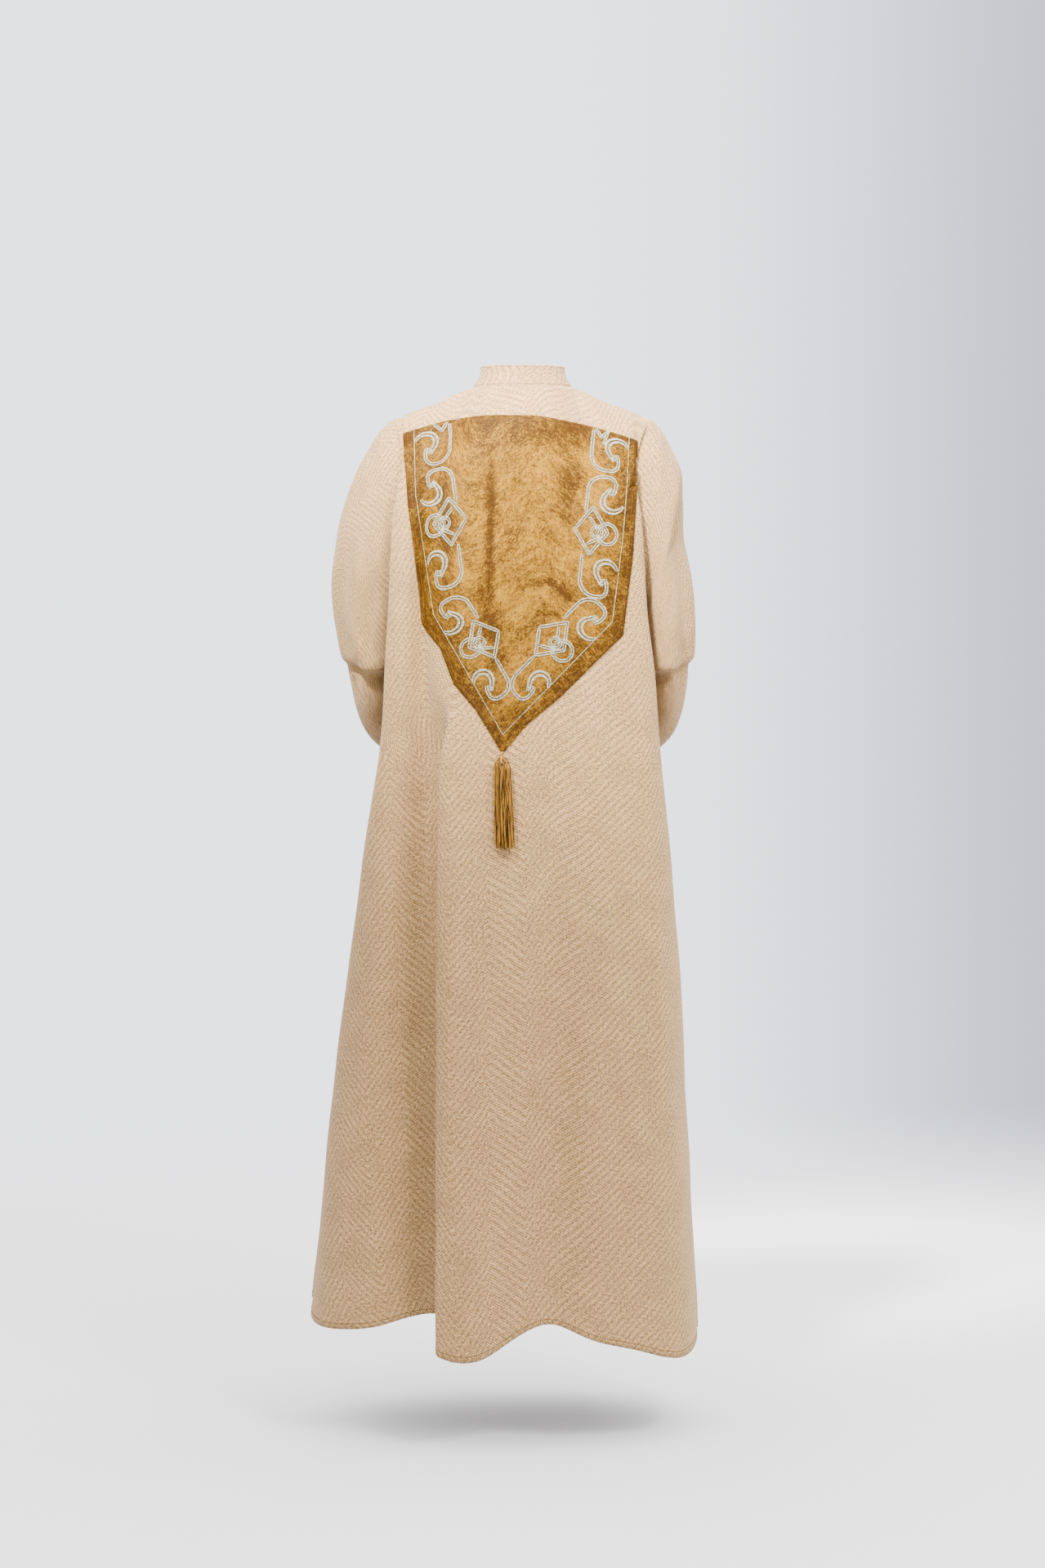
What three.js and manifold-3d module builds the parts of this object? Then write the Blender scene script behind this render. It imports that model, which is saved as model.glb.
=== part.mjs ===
// A long open-fronted abaya with a stand collar, wide sleeves and a velvet back panel with a tassel.
// Millimetres. +Z is up, the wearer faces -Y and the wearer's left is +X.
// The origin is the middle of the neck opening at the level of the collar seam.
import * as THREE from 'three';
import { mergeVertices } from 'three/addons/utils/BufferGeometryUtils.js';
import Module from 'manifold-3d';

const wasm = await Module();
wasm.setup();

// ---- driving sizes -----------------------------------------------------------------------------
const CLOTH = 2; // wall of the woven cloth
const VELVET = 1.4; // wall of the velvet panel
const SEAM_GAP = 0.3; // gap between two sewn pieces
const LAY_GAP = 0.4; // gap between the panel and the back under it
const HEM = -1360; // mean level of the hem
const UNDERARM = -340; // lowest point of the armhole
const SHOULDER = -46; // top of the armhole
const SIDE_Y = -2; // how far back the side seams and the shoulder points lie
const ARMHOLE_REAR = 64; // half depth of the armhole behind the side seam
const ARMHOLE_FRONT = 72; // half depth of the armhole in front of it
const NECK_HALF = 72; // half width of the neck opening
const NECK_Y = 10; // how far back the neck end of the shoulder seam lies
const NECK_END = -4; // its level
const NECK_BACK = { y: 62, z: -7 }; // neck seam at the middle of the back
const NECK_FRONT = { y: -86, z: -72 }; // neck seam at the middle of the front
const FRONT_PART = { top: 3, hem: 20 }; // half gap between the two fronts
const COLLAR_HEIGHT = 30;
const COLLAR_LEAN = 11; // how far the collar's top edge stands in from its seam

// ---- how the panels are divided ------------------------------------------------------------------
const TURN = 0.78; // share of a half section that lies behind the widest point
const NECK_SHARE = 0.36; // share of the top edge taken by half the neck
const SHOULDER_SPREAD = 0.35; // how far the wall on the shoulder seam leans outwards
const SHOULDER_SPANS = 9;
const NECK_SPANS = 4;
const MIDDLE_SPANS = 7;
const SKIRT_SPANS = 14;
const ARMHOLE_SPANS = 10;
const FOLD_AT = 0.25; // column of the sharp fold
const FOLD_WIDTH = 0.05;
const SEAM_FADE = 0.2; // share of a half section over which folds die out towards a side seam
const FOLD_COLUMNS = [-1.8, -1.2, -0.75, -0.35, 0, 0.35, 0.75, 1.2, 1.8];

// ---- tables ------------------------------------------------------------------------------------
// Level sections of the back. left and right: widest half widths. depth: middle of the back.
// bend: how far back the widest point lies. seam columns: half width at the side seam.
// fold: share of the half section at which the sharp fold lies.
const BACK_SECTIONS = [
  { z: -1400, left: 308, right: 253, depth: 232, bend: 46, seamLeft: 308, seamRight: 253, fold: 0.168 },
  { z: -1105, left: 280, right: 240, depth: 198, bend: 44, seamLeft: 278, seamRight: 239, fold: 0.188 },
  { z: -900, left: 256, right: 230, depth: 174, bend: 46, seamLeft: 251, seamRight: 226, fold: 0.212 },
  { z: -740, left: 234, right: 218, depth: 158, bend: 52, seamLeft: 224, seamRight: 209, fold: 0.238 },
  { z: -620, left: 217, right: 208, depth: 146, bend: 60, seamLeft: 197, seamRight: 189, fold: 0.258 },
  { z: -540, left: 205, right: 199, depth: 138, bend: 68, seamLeft: 176, seamRight: 171, fold: 0.272 },
  { z: -430, left: 198, right: 191, depth: 128, bend: 76, seamLeft: 166, seamRight: 160, fold: 0.286 },
  { z: -340, left: 194, right: 181, depth: 121, bend: 78, seamLeft: 166, seamRight: 158, fold: 0.3 },
  { z: -260, left: 190, right: 175, depth: 117, bend: 78, seamLeft: 167, seamRight: 157, fold: 0.312 },
  { z: -193, left: 187, right: 171, depth: 111, bend: 76, seamLeft: 168, seamRight: 158, fold: 0.322 },
];

// Level sections of the fronts. wide: widest half width (at most the seam's). depth: middle front.
const FRONT_SECTIONS = [
  { z: -1400, wide: 1, depth: 190, bend: 40 },
  { z: -1105, wide: 1, depth: 162, bend: 34 },
  { z: -900, wide: 1, depth: 142, bend: 26 },
  { z: -740, wide: 1, depth: 122, bend: 16 },
  { z: -620, wide: 1, depth: 104, bend: 8 },
  { z: -540, wide: 1, depth: 96, bend: 4 },
  { z: -430, wide: 1, depth: 98, bend: 6 },
  { z: -340, wide: 1.02, depth: 106, bend: 40 },
  { z: -260, wide: 1.06, depth: 114, bend: 84 },
  { z: -193, wide: 1.07, depth: 112, bend: 88 },
];

// Half width of the armhole seam, from the underarm up to the shoulder point.
const ARMHOLE = [
  { z: UNDERARM, left: 166, right: 158 },
  { z: -193, left: 168, right: 158 },
  { z: -110, left: 174, right: 166 },
  { z: -70, left: 181, right: 177 },
  { z: SHOULDER, left: 187, right: 187 },
];

// Profile of the middle of the back and of the front above the armhole's half height.
const BACK_PROFILE = [
  { z: -193, y: 111 },
  { z: -120, y: 104 },
  { z: -60, y: 90 },
  { z: NECK_BACK.z, y: NECK_BACK.y },
];
const FRONT_PROFILE = [
  { z: -193, y: 112 },
  { z: -140, y: 106 },
  { z: -100, y: 96 },
  { z: NECK_FRONT.z, y: -NECK_FRONT.y },
];

// Level of the shoulder seam by distance from the middle.
const SHOULDER_LINE = [
  { x: NECK_HALF, z: NECK_END },
  { x: 96, z: -13 },
  { x: 124, z: -26 },
  { x: 155, z: -36 },
  { x: 187, z: SHOULDER },
];

// Soft folds of the back, right side negative. top and hem: column at either end. width: half width.
// out: how far it stands out (in when negative) at the top and at the hem. drop: how it moves the hem.
const BACK_FOLDS = [
  { top: 0.68, hem: 0.6, width: 0.13, from: -420, outTop: 2, outHem: 12, drop: -8 },
  { top: 0.4, hem: 0.345, width: 0.065, from: -110, outTop: -20, outHem: -40, drop: 14 },
  { top: 0.17, hem: 0.15, width: 0.08, from: -110, outTop: 5, outHem: 20, drop: -20 },
  { top: -0.05, hem: -0.08, width: 0.1, from: -420, outTop: -4, outHem: -20, drop: 24 },
  { top: -0.45, hem: -0.5, width: 0.17, from: -430, outTop: 3, outHem: 12, drop: -24 },
];
const SHARP_FOLD = { from: -440, full: -560, lean: 2.2, step: 13, reach: 0.15, crisp: 0.8, drop: 12 };
const HEM_TILT = 22; // how much lower the right side of the hem hangs than the left
const FOLD_RISE = 200; // height over which a soft fold comes in
const HEM_FADE = 380; // height over which the hem's own shape dies out

// Soft folds of each front, from the middle edge (0) to the side seam (1).
const FRONT_FOLDS = [
  { top: 0.22, hem: 0.2, width: 0.1, from: -560, outTop: 0, outHem: 13, drop: -9 },
  { top: 0.47, hem: 0.44, width: 0.1, from: -580, outTop: 0, outHem: -17, drop: 12 },
  { top: 0.74, hem: 0.7, width: 0.12, from: -600, outTop: 0, outHem: 11, drop: -7 },
];

// Sections of a sleeve beyond the armhole: its outer and inner points, half depth, and how far the
// depth axis has swung from level towards straight down as the elbow bends.
const SLEEVE_SECTIONS = [
  { outLeft: 206, outRight: 203, outY: -2, outZ: -64, inX: 176, inY: -2, inZ: -343, deep: 62, bend: 0 },
  { outLeft: 221, outRight: 215, outY: -2, outZ: -88, inX: 178, inY: -2, inZ: -347, deep: 64, bend: 0 },
  { outLeft: 244, outRight: 233, outY: -2, outZ: -128, inX: 180, inY: -3, inZ: -352, deep: 67, bend: 0 },
  { outLeft: 262, outRight: 237, outY: -2, outZ: -176, inX: 181, inY: -5, inZ: -358, deep: 70, bend: 0 },
  { outLeft: 272, outRight: 237, outY: -4, outZ: -226, inX: 181, inY: -8, inZ: -364, deep: 72, bend: 0 },
  { outLeft: 279, outRight: 246, outY: -8, outZ: -280, inX: 181, inY: -11, inZ: -371, deep: 73, bend: 2 },
  { outLeft: 275, outRight: 251, outY: -12, outZ: -334, inX: 181, inY: -14, inZ: -379, deep: 74, bend: 6 },
  { outLeft: 268, outRight: 252, outY: -16, outZ: -376, inX: 180, inY: -18, inZ: -388, deep: 75, bend: 12 },
  { outLeft: 263, outRight: 251, outY: -20, outZ: -392, inX: 180, inY: -21, inZ: -394, deep: 75, bend: 18 },
  { outLeft: 257, outRight: 245, outY: -24, outZ: -403, inX: 180, inY: -25, inZ: -401, deep: 62, bend: 20 },
  { outLeft: 254, outRight: 244, outY: -34, outZ: -424, inX: 177, inY: -34, inZ: -418, deep: 62, bend: 34 },
  { outLeft: 248, outRight: 238, outY: -58, outZ: -450, inX: 170, inY: -47, inZ: -442, deep: 62, bend: 50 },
  { outLeft: 232, outRight: 224, outY: -98, outZ: -476, inX: 156, inY: -68, inZ: -466, deep: 60, bend: 62 },
  { outLeft: 200, outRight: 196, outY: -154, outZ: -500, inX: 126, inY: -110, inZ: -490, deep: 58, bend: 70 },
  { outLeft: 160, outRight: 158, outY: -208, outZ: -522, inX: 90, inY: -158, inZ: -512, deep: 56, bend: 72 },
  { outLeft: 120, outRight: 120, outY: -252, outZ: -540, inX: 56, inY: -198, inZ: -530, deep: 54, bend: 72 },
];
const RIGHT_SLEEVE_IN = 7; // how much closer to the body the inner side of the right sleeve lies
const SLEEVE_FOLD_FADE = 3; // sections over which a sleeve's fold comes in
const SLEEVE_START = 5; // how far the sleeve runs on past the armhole before it turns outwards
const ELBOW_SECTION = 9; // section at the elbow crease, where the sleeve is parted into two pieces

// Folds of the sleeves, by angle round the sleeve (0 inner or under, 90 rear, 180 outer or upper).
const SLEEVE_FOLDS = [
  { angle: 128, width: 15, out: -7, from: 2, to: 11 },
  { angle: 160, width: 13, out: 4, from: 3, to: 10 },
  { angle: 235, width: 18, out: -5, from: 3, to: 12 },
];

// Outline of the velvet panel, from its upper left corner round by the right to the point.
const PANEL_TOP = [[173, -76], [107, -58], [52, -55], [-21, -56], [-94, -67], [-166, -87]];
const PANEL_RIGHT = [[-165, -144], [-157, -261], [-143, -372], [-106, -408], [-55, -459], [-4, -502]];
const PANEL_POINT = [29, -542];
const PANEL_LEFT = [[43, -518], [67, -479], [98, -441], [117, -390], [146, -352], [149, -313], [163, -193]];
const PANEL_CUT = { near: 30, far: 190 }; // depth range of the cutting prism
const PANEL_ROWS_BELOW = -600; // lowest row of cloth that the panel is made from
const PANEL_REACH = 0.87; // outermost column of the cloth that it is made from

// Shape of the collar from its seam (0) to its top edge (1).
const COLLAR_ROWS = [
  { rise: 0, lean: 0 },
  { rise: 0.2, lean: 0.36 },
  { rise: 0.6, lean: 0.8 },
  { rise: 1, lean: 1 },
];

const TASSEL = {
  x: 29,
  lean: -5, // how far the tips lie to the right of the neck
  top: -537,
  bottom: -677,
  headLength: 20,
  headRadius: 7.6,
  rings: 3,
  topSpacing: 1.8,
  endSpacing: 4.2,
  flatten: 0.8,
  strandRadius: 0.62,
};
// Profile of the tassel's head from its knot down to its skirt, as shares of its radius and length.
const HEAD_PROFILE = [
  { radius: 0, down: 0 },
  { radius: 0.3, down: 0.02 },
  { radius: 0.46, down: 0.14 },
  { radius: 0.4, down: 0.3 },
  { radius: 0.34, down: 0.42 },
  { radius: 0.66, down: 0.56 },
  { radius: 0.96, down: 0.78 },
  { radius: 1, down: 1 },
  { radius: 0, down: 1 },
];

// ---- small helpers -------------------------------------------------------------------------------
const radians = (degrees) => (degrees * Math.PI) / 180;
const mix = (a, b, t) => a + (b - a) * t;
const clamp01 = (t) => Math.min(1, Math.max(0, t));
const ease = (t) => clamp01(t) ** 2 * (3 - 2 * clamp01(t));
const bell = (t) => Math.exp(-t * t);

// Reads a column of a table at a value of its key column, on a smooth curve through the rows.
function lookup(table, key, column, at) {
  const rising = table[table.length - 1][key] > table[0][key];
  let i = 0;
  while (i < table.length - 2 && (rising ? at > table[i + 1][key] : at < table[i + 1][key])) i += 1;
  const slope = (k) => {
    const a = table[Math.max(0, k - 1)];
    const b = table[Math.min(table.length - 1, k + 1)];
    return (b[column] - a[column]) / (b[key] - a[key]);
  };
  const [p, q] = [table[i], table[i + 1]];
  const span = q[key] - p[key];
  const t = clamp01((at - p[key]) / span);
  const bendIn = slope(i) * span * t * (1 - t) ** 2;
  const bendOut = slope(i + 1) * span * t * t * (t - 1);
  return p[column] * (1 + 2 * t) * (1 - t) ** 2 + q[column] * t * t * (3 - 2 * t) + bendIn + bendOut;
}

function solidMesh(name, geometry, material) {
  const mesh = new THREE.Mesh(geometry, material);
  mesh.name = name;
  return mesh;
}

function signedVolume(points, triangles) {
  let six = 0;
  for (const [a, b, c] of triangles) {
    six += points[a].dot(new THREE.Vector3().crossVectors(points[b], points[c]));
  }
  return six / 6;
}

function closedGeometry(points, triangles) {
  const turned = signedVolume(points, triangles) < 0 ? triangles.map(([a, b, c]) => [a, c, b]) : triangles;
  const geometry = new THREE.BufferGeometry();
  geometry.setAttribute('position', new THREE.Float32BufferAttribute(points.flatMap((p) => p.toArray()), 3));
  geometry.setIndex(turned.flat());
  geometry.computeVertexNormals();
  return geometry;
}

// Unit normals of a grid of points; sign turns them outwards. round: the last column meets the first.
function gridNormals(grid, sign, round = false) {
  const rows = grid.length;
  const columns = grid[0].length;
  const at = (i, j) => grid[Math.min(rows - 1, Math.max(0, i))][
    round ? (j + columns) % columns : Math.min(columns - 1, Math.max(0, j))];
  return grid.map((row, i) => row.map((_, j) => {
    const along = at(i + 1, j).clone().sub(at(i - 1, j));
    const across = at(i, j + 1).clone().sub(at(i, j - 1));
    return across.cross(along).multiplyScalar(sign).normalize();
  }));
}

// A wall of cloth between the grid moved out by two distances along its normals.
function wallGeometry(grid, normals, outside, inside, round = false) {
  const rows = grid.length;
  const columns = grid[0].length;
  const moved = (distance) => grid.flatMap((row, i) => row.map(
    (p, j) => p.clone().addScaledVector(normals[i][j], distance)));
  const points = [...moved(outside), ...moved(inside)];
  const layer = rows * columns;
  const index = (i, j, side) => side * layer + i * columns + (j % columns);
  const triangles = [];
  const quad = (a, b, c, d) => triangles.push([a, b, c], [a, c, d]);
  const spans = round ? columns : columns - 1;
  for (let i = 0; i < rows - 1; i += 1) {
    for (let j = 0; j < spans; j += 1) {
      quad(index(i, j, 0), index(i, j + 1, 0), index(i + 1, j + 1, 0), index(i + 1, j, 0));
      triangles.push([index(i, j, 1), index(i + 1, j + 1, 1), index(i, j + 1, 1)]);
      triangles.push([index(i, j, 1), index(i + 1, j, 1), index(i + 1, j + 1, 1)]);
    }
  }
  for (let j = 0; j < spans; j += 1) {
    quad(index(0, j, 1), index(0, j + 1, 1), index(0, j + 1, 0), index(0, j, 0));
    const end = rows - 1;
    const ring = [index(end, j, 0), index(end, j + 1, 0), index(end, j + 1, 1), index(end, j, 1)];
    if (round) ring.push(ring.shift()); // so that it meets the first ring of another piece
    quad(...ring);
  }
  for (let i = 0; i < rows - 1 && !round; i += 1) {
    const last = columns - 1;
    quad(index(i + 1, 0, 0), index(i + 1, 0, 1), index(i, 0, 1), index(i, 0, 0));
    quad(index(i, last, 1), index(i + 1, last, 1), index(i + 1, last, 0), index(i, last, 0));
  }
  return closedGeometry(points, triangles);
}

// ---- joining and cutting ---------------------------------------------------------------------------
function toManifold(geometry) {
  const bare = geometry.clone();
  bare.deleteAttribute('normal');
  bare.deleteAttribute('uv');
  const merged = mergeVertices(bare, 1e-4);
  const vertProperties = Float32Array.from(merged.attributes.position.array);
  const triVerts = Uint32Array.from(merged.index.array);
  return new wasm.Manifold(new wasm.Mesh({ numProp: 3, vertProperties, triVerts }));
}

function fromManifold(solid) {
  const { vertProperties, triVerts } = solid.getMesh();
  const geometry = new THREE.BufferGeometry();
  geometry.setAttribute('position', new THREE.BufferAttribute(Float32Array.from(vertProperties), 3));
  geometry.setIndex(Array.from(triVerts));
  geometry.computeVertexNormals();
  return geometry;
}

// ---- sections of the body ----------------------------------------------------------------------------
// One side of a level section: a quarter ellipse out to the widest point, then a run to the seam.
function halfSection(s, { start, wide, depth, bend, seamX, seamY }) {
  if (s <= TURN) {
    const angle = (s / TURN) * (Math.PI / 2);
    return { x: mix(start, wide, Math.sin(angle)), y: mix(bend, depth, Math.cos(angle)) };
  }
  const run = (s - TURN) / (1 - TURN);
  return { x: mix(wide, seamX, ease(run * 1.5)), y: mix(bend, seamY, run) };
}

// The columns of the back crowd together at the sharp fold, which wanders across the cloth.
function foldedShare(s, z) {
  const fold = lookup(BACK_SECTIONS, 'z', 'fold', z);
  if (s <= FOLD_AT) return (s * fold) / FOLD_AT;
  return mix(fold, 1, (s - FOLD_AT) / (1 - FOLD_AT));
}

function backSection(s, z, seamX, seamY) {
  const side = s >= 0 ? 'left' : 'right';
  const size = {
    start: 0,
    wide: lookup(BACK_SECTIONS, 'z', side, z),
    depth: lookup(BACK_SECTIONS, 'z', 'depth', z),
    bend: lookup(BACK_SECTIONS, 'z', 'bend', z),
    seamX,
    seamY,
  };
  const share = s >= 0 ? foldedShare(s, z) : -s;
  const { x, y } = halfSection(share, size);
  return new THREE.Vector3(Math.sign(s || 1) * x, y, z);
}

function frontSection(s, z, side, seamX, seamY) {
  const fallen = clamp01((SHOULDER - z) / (SHOULDER - HEM));
  const size = {
    start: mix(FRONT_PART.top, FRONT_PART.hem, fallen),
    wide: seamX * lookup(FRONT_SECTIONS, 'z', 'wide', z),
    depth: lookup(FRONT_SECTIONS, 'z', 'depth', z),
    bend: lookup(FRONT_SECTIONS, 'z', 'bend', z),
    seamX,
    seamY: -seamY,
  };
  const { x, y } = halfSection(s, size);
  return new THREE.Vector3(side.sign * x, -y, z);
}

// ---- folds -----------------------------------------------------------------------------------------
function softFold(fold, s, z) {
  const down = clamp01((fold.from - z) / (fold.from - HEM));
  const place = mix(fold.top, fold.hem, down);
  const rise = ease((fold.from - z) / FOLD_RISE);
  return { shape: bell((s - place) / fold.width), out: rise * mix(fold.outTop, fold.outHem, down), down };
}

// How far a fold table moves the cloth out, and how far it moves the hem, at one place.
function foldsAt(folds, s, z) {
  let out = 0;
  let drop = 0;
  for (const fold of folds) {
    const { shape, out: height } = softFold(fold, s, z);
    out += height * shape;
    drop += fold.drop * shape;
  }
  return { out, drop };
}

const sharpness = (z) => ease((SHARP_FOLD.from - z) / (SHARP_FOLD.from - SHARP_FOLD.full));

// The sharp fold: cloth on its right lies over the cloth on its left.
function leaningColumn(s, z) {
  const q = (s - FOLD_AT) / FOLD_WIDTH;
  return s - sharpness(z) * SHARP_FOLD.lean * (s - FOLD_AT) * bell(q / Math.SQRT2);
}

function sharpStep(s) {
  const q = (s - FOLD_AT) / FOLD_WIDTH;
  return -Math.tanh(q / SHARP_FOLD.crisp) * bell((s - FOLD_AT) / SHARP_FOLD.reach);
}

const hemShare = (z) => clamp01(1 - (z - HEM) / HEM_FADE) ** 2;

function levelNormal(pointAt, s) {
  const a = pointAt(s - 0.01);
  const b = pointAt(s + 0.01);
  const across = b.sub(a).setZ(0).normalize();
  return new THREE.Vector3(-across.y, across.x, 0);
}

function foldedBackPoint(s, z, seamY) {
  const side = s >= 0 ? 'Left' : 'Right';
  const seamX = z > UNDERARM
    ? lookup(ARMHOLE, 'z', side.toLowerCase(), z)
    : lookup(BACK_SECTIONS, 'z', `seam${side}`, z);
  const pointAt = (share) => backSection(share, z, seamX, seamY);
  const smooth = pointAt(leaningColumn(s, z));
  const { out, drop } = foldsAt(BACK_FOLDS, s, z);
  const atSeam = ease((1 - Math.abs(s)) / SEAM_FADE);
  const height = (out + sharpStep(s) * SHARP_FOLD.step * sharpness(z)) * atSeam;
  const normal = levelNormal(pointAt, s * 0.97);
  smooth.addScaledVector(normal, height);
  smooth.z += hemShare(z) * ((drop - sharpStep(s) * SHARP_FOLD.drop) * atSeam + HEM_TILT * s);
  return smooth;
}

function foldedFrontPoint(s, z, side, seamY) {
  const seamX = z > UNDERARM
    ? lookup(ARMHOLE, 'z', side.name, z)
    : lookup(BACK_SECTIONS, 'z', side.name === 'left' ? 'seamLeft' : 'seamRight', z);
  const pointAt = (share) => frontSection(share, z, side, seamX, seamY);
  const point = pointAt(s);
  const { out, drop } = foldsAt(FRONT_FOLDS, s, z);
  const atSeam = ease((1 - s) / SEAM_FADE);
  point.addScaledVector(levelNormal(pointAt, clamp01(s * 0.97 + 0.01)), -side.sign * out * atSeam);
  point.z += hemShare(z) * (drop * atSeam + HEM_TILT * side.sign);
  return point;
}

// ---- the top edge ------------------------------------------------------------------------------------
function shoulderPoint(t) {
  const x = mix(NECK_HALF, SHOULDER_LINE[SHOULDER_LINE.length - 1].x, t);
  return new THREE.Vector3(x, mix(NECK_Y, SIDE_Y, t), lookup(SHOULDER_LINE, 'x', 'z', x));
}

// s runs from the middle (0) by the neck to the shoulder point (1); middle is the neck's lowest point.
function topEdge(s, middle, start) {
  if (s > NECK_SHARE) return shoulderPoint((s - NECK_SHARE) / (1 - NECK_SHARE));
  const angle = (s / NECK_SHARE) * (Math.PI / 2);
  const x = mix(start, NECK_HALF, Math.sin(angle));
  const y = mix(NECK_Y, middle.y, Math.cos(angle));
  return new THREE.Vector3(x, y, mix(NECK_END, middle.z, Math.cos(angle)));
}

// Where the armhole seam lies at an angle from the underarm (0) to the shoulder point (180).
function armholeEdge(angle, half) {
  const middle = (UNDERARM + SHOULDER) / 2;
  const z = middle - ((SHOULDER - UNDERARM) / 2) * Math.cos(radians(angle));
  return { y: SIDE_Y + half * Math.sin(radians(angle)), z };
}

// A patch between the level row at the armhole's half height and the top edge.
function yokePoint(s, w, parts) {
  const edge = mixPoint(parts.row(s), parts.top(s), w);
  const middleBulge = parts.middle(w).sub(mixPoint(parts.row(0), parts.top(0), w));
  const edgeBulge = parts.edge(w).sub(mixPoint(parts.row(1), parts.top(1), w));
  return edge.addScaledVector(middleBulge, 1 - s).addScaledVector(edgeBulge, s);
}

const mixPoint = (a, b, t) => a.clone().lerp(b, t);

// ---- grids of the body ---------------------------------------------------------------------------------
// Rows from the hem to the underarm, then round the armhole to the shoulder point.
function bodyRows() {
  const rows = [];
  for (let i = 0; i < SKIRT_SPANS; i += 1) {
    const down = 1 - i / SKIRT_SPANS;
    rows.push({ z: mix(UNDERARM, HEM, down ** 1.15), angle: null });
  }
  for (let i = 0; i <= ARMHOLE_SPANS; i += 1) rows.push({ z: null, angle: (180 * i) / ARMHOLE_SPANS });
  return rows;
}

// The columns that end on the shoulder seam, alike on the back and the fronts.
function shoulderColumns() {
  return Array.from({ length: SHOULDER_SPANS + 1 }, (_, i) => mix(NECK_SHARE, 1, i / SHOULDER_SPANS));
}

function backColumns() {
  const shoulder = shoulderColumns();
  const fold = FOLD_COLUMNS.map((offset) => FOLD_AT + offset * FOLD_WIDTH);
  const middle = Array.from({ length: MIDDLE_SPANS }, (_, i) => mix(-NECK_SHARE, fold[0], i / MIDDLE_SPANS));
  const right = shoulder.map((s) => -s).reverse();
  return [...right.slice(0, -1), ...middle, ...fold, ...shoulder];
}

function backPoint(s, row) {
  if (row.angle === null) return foldedBackPoint(s, row.z, SIDE_Y);
  const { y, z } = armholeEdge(row.angle, ARMHOLE_REAR);
  if (row.angle <= 90) return foldedBackPoint(s, z, y);
  const sign = s >= 0 ? 1 : -1;
  const side = s >= 0 ? 'left' : 'right';
  const half = armholeEdge(90, ARMHOLE_REAR);
  const parts = {
    row: (share) => foldedBackPoint(sign * share, half.z, half.y),
    top: (share) => topEdge(share, NECK_BACK, 0).multiply(new THREE.Vector3(sign, 1, 1)),
    middle: (w) => {
      const level = mix(half.z, NECK_BACK.z, w);
      return new THREE.Vector3(0, lookup(BACK_PROFILE, 'z', 'y', level), level);
    },
    edge: (w) => {
      const place = armholeEdge(mix(90, 180, w), ARMHOLE_REAR);
      return new THREE.Vector3(sign * lookup(ARMHOLE, 'z', side, place.z), place.y, place.z);
    },
  };
  return yokePoint(Math.abs(s), (row.angle - 90) / 90, parts);
}

function frontPoint(s, row, side) {
  if (row.angle === null) return foldedFrontPoint(s, row.z, side, SIDE_Y);
  const { y, z } = armholeEdge(row.angle, -ARMHOLE_FRONT);
  if (row.angle <= 90) return foldedFrontPoint(s, z, side, y);
  const half = armholeEdge(90, -ARMHOLE_FRONT);
  const across = new THREE.Vector3(side.sign, 1, 1);
  const parts = {
    row: (share) => foldedFrontPoint(share, half.z, side, half.y),
    top: (share) => topEdge(share, NECK_FRONT, FRONT_PART.top).multiply(across),
    middle: (w) => {
      const level = mix(half.z, NECK_FRONT.z, w);
      return new THREE.Vector3(side.sign * FRONT_PART.top, -lookup(FRONT_PROFILE, 'z', 'y', level), level);
    },
    edge: (w) => {
      const place = armholeEdge(mix(90, 180, w), -ARMHOLE_FRONT);
      return new THREE.Vector3(side.sign * lookup(ARMHOLE, 'z', side.name, place.z), place.y, place.z);
    },
  };
  return yokePoint(s, (row.angle - 90) / 90, parts);
}

const ROWS = bodyRows();
const UNDERARM_ROW = SKIRT_SPANS;
const TOP_ROW = ROWS.length - 1;

// Both pieces at a side or shoulder seam share one direction of thickness and part by half the gap.
function shareSeams(grid, normals, toRear, isShoulder, edgeColumns) {
  for (const { column, sign } of edgeColumns) {
    for (let i = 0; i <= UNDERARM_ROW; i += 1) {
      grid[i][column].y += (toRear * SEAM_GAP) / 2;
      normals[i][column].set(sign, 0, 0);
    }
    normals[UNDERARM_ROW][column].set(sign, 0, 0);
  }
  grid[TOP_ROW].forEach((p, j) => {
    const sign = isShoulder(j);
    if (sign === 0) return;
    p.y += (toRear * SEAM_GAP) / 2;
    normals[TOP_ROW][j].set(sign * SHOULDER_SPREAD, 0, 1).normalize();
  });
}

function backGrid() {
  const columns = backColumns();
  const grid = ROWS.map((row) => columns.map((s) => backPoint(s, row)));
  const normals = gridNormals(grid, -1);
  const last = columns.length - 1;
  const isShoulder = (j) => (Math.abs(columns[j]) > NECK_SHARE - 1e-6 ? Math.sign(columns[j]) : 0);
  shareSeams(grid, normals, 1, isShoulder, [{ column: 0, sign: -1 }, { column: last, sign: 1 }]);
  return { columns, grid, normals };
}

function frontGrid(side) {
  const neck = Array.from({ length: NECK_SPANS }, (_, i) => (NECK_SHARE * i) / NECK_SPANS);
  const shoulder = shoulderColumns();
  const columns = [...neck, ...shoulder];
  const grid = ROWS.map((row) => columns.map((s) => frontPoint(s, row, side)));
  const normals = gridNormals(grid, side.sign);
  const isShoulder = (j) => (j >= NECK_SPANS ? side.sign : 0);
  shareSeams(grid, normals, -1, isShoulder, [{ column: columns.length - 1, sign: side.sign }]);
  return { columns, grid, normals };
}

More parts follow.
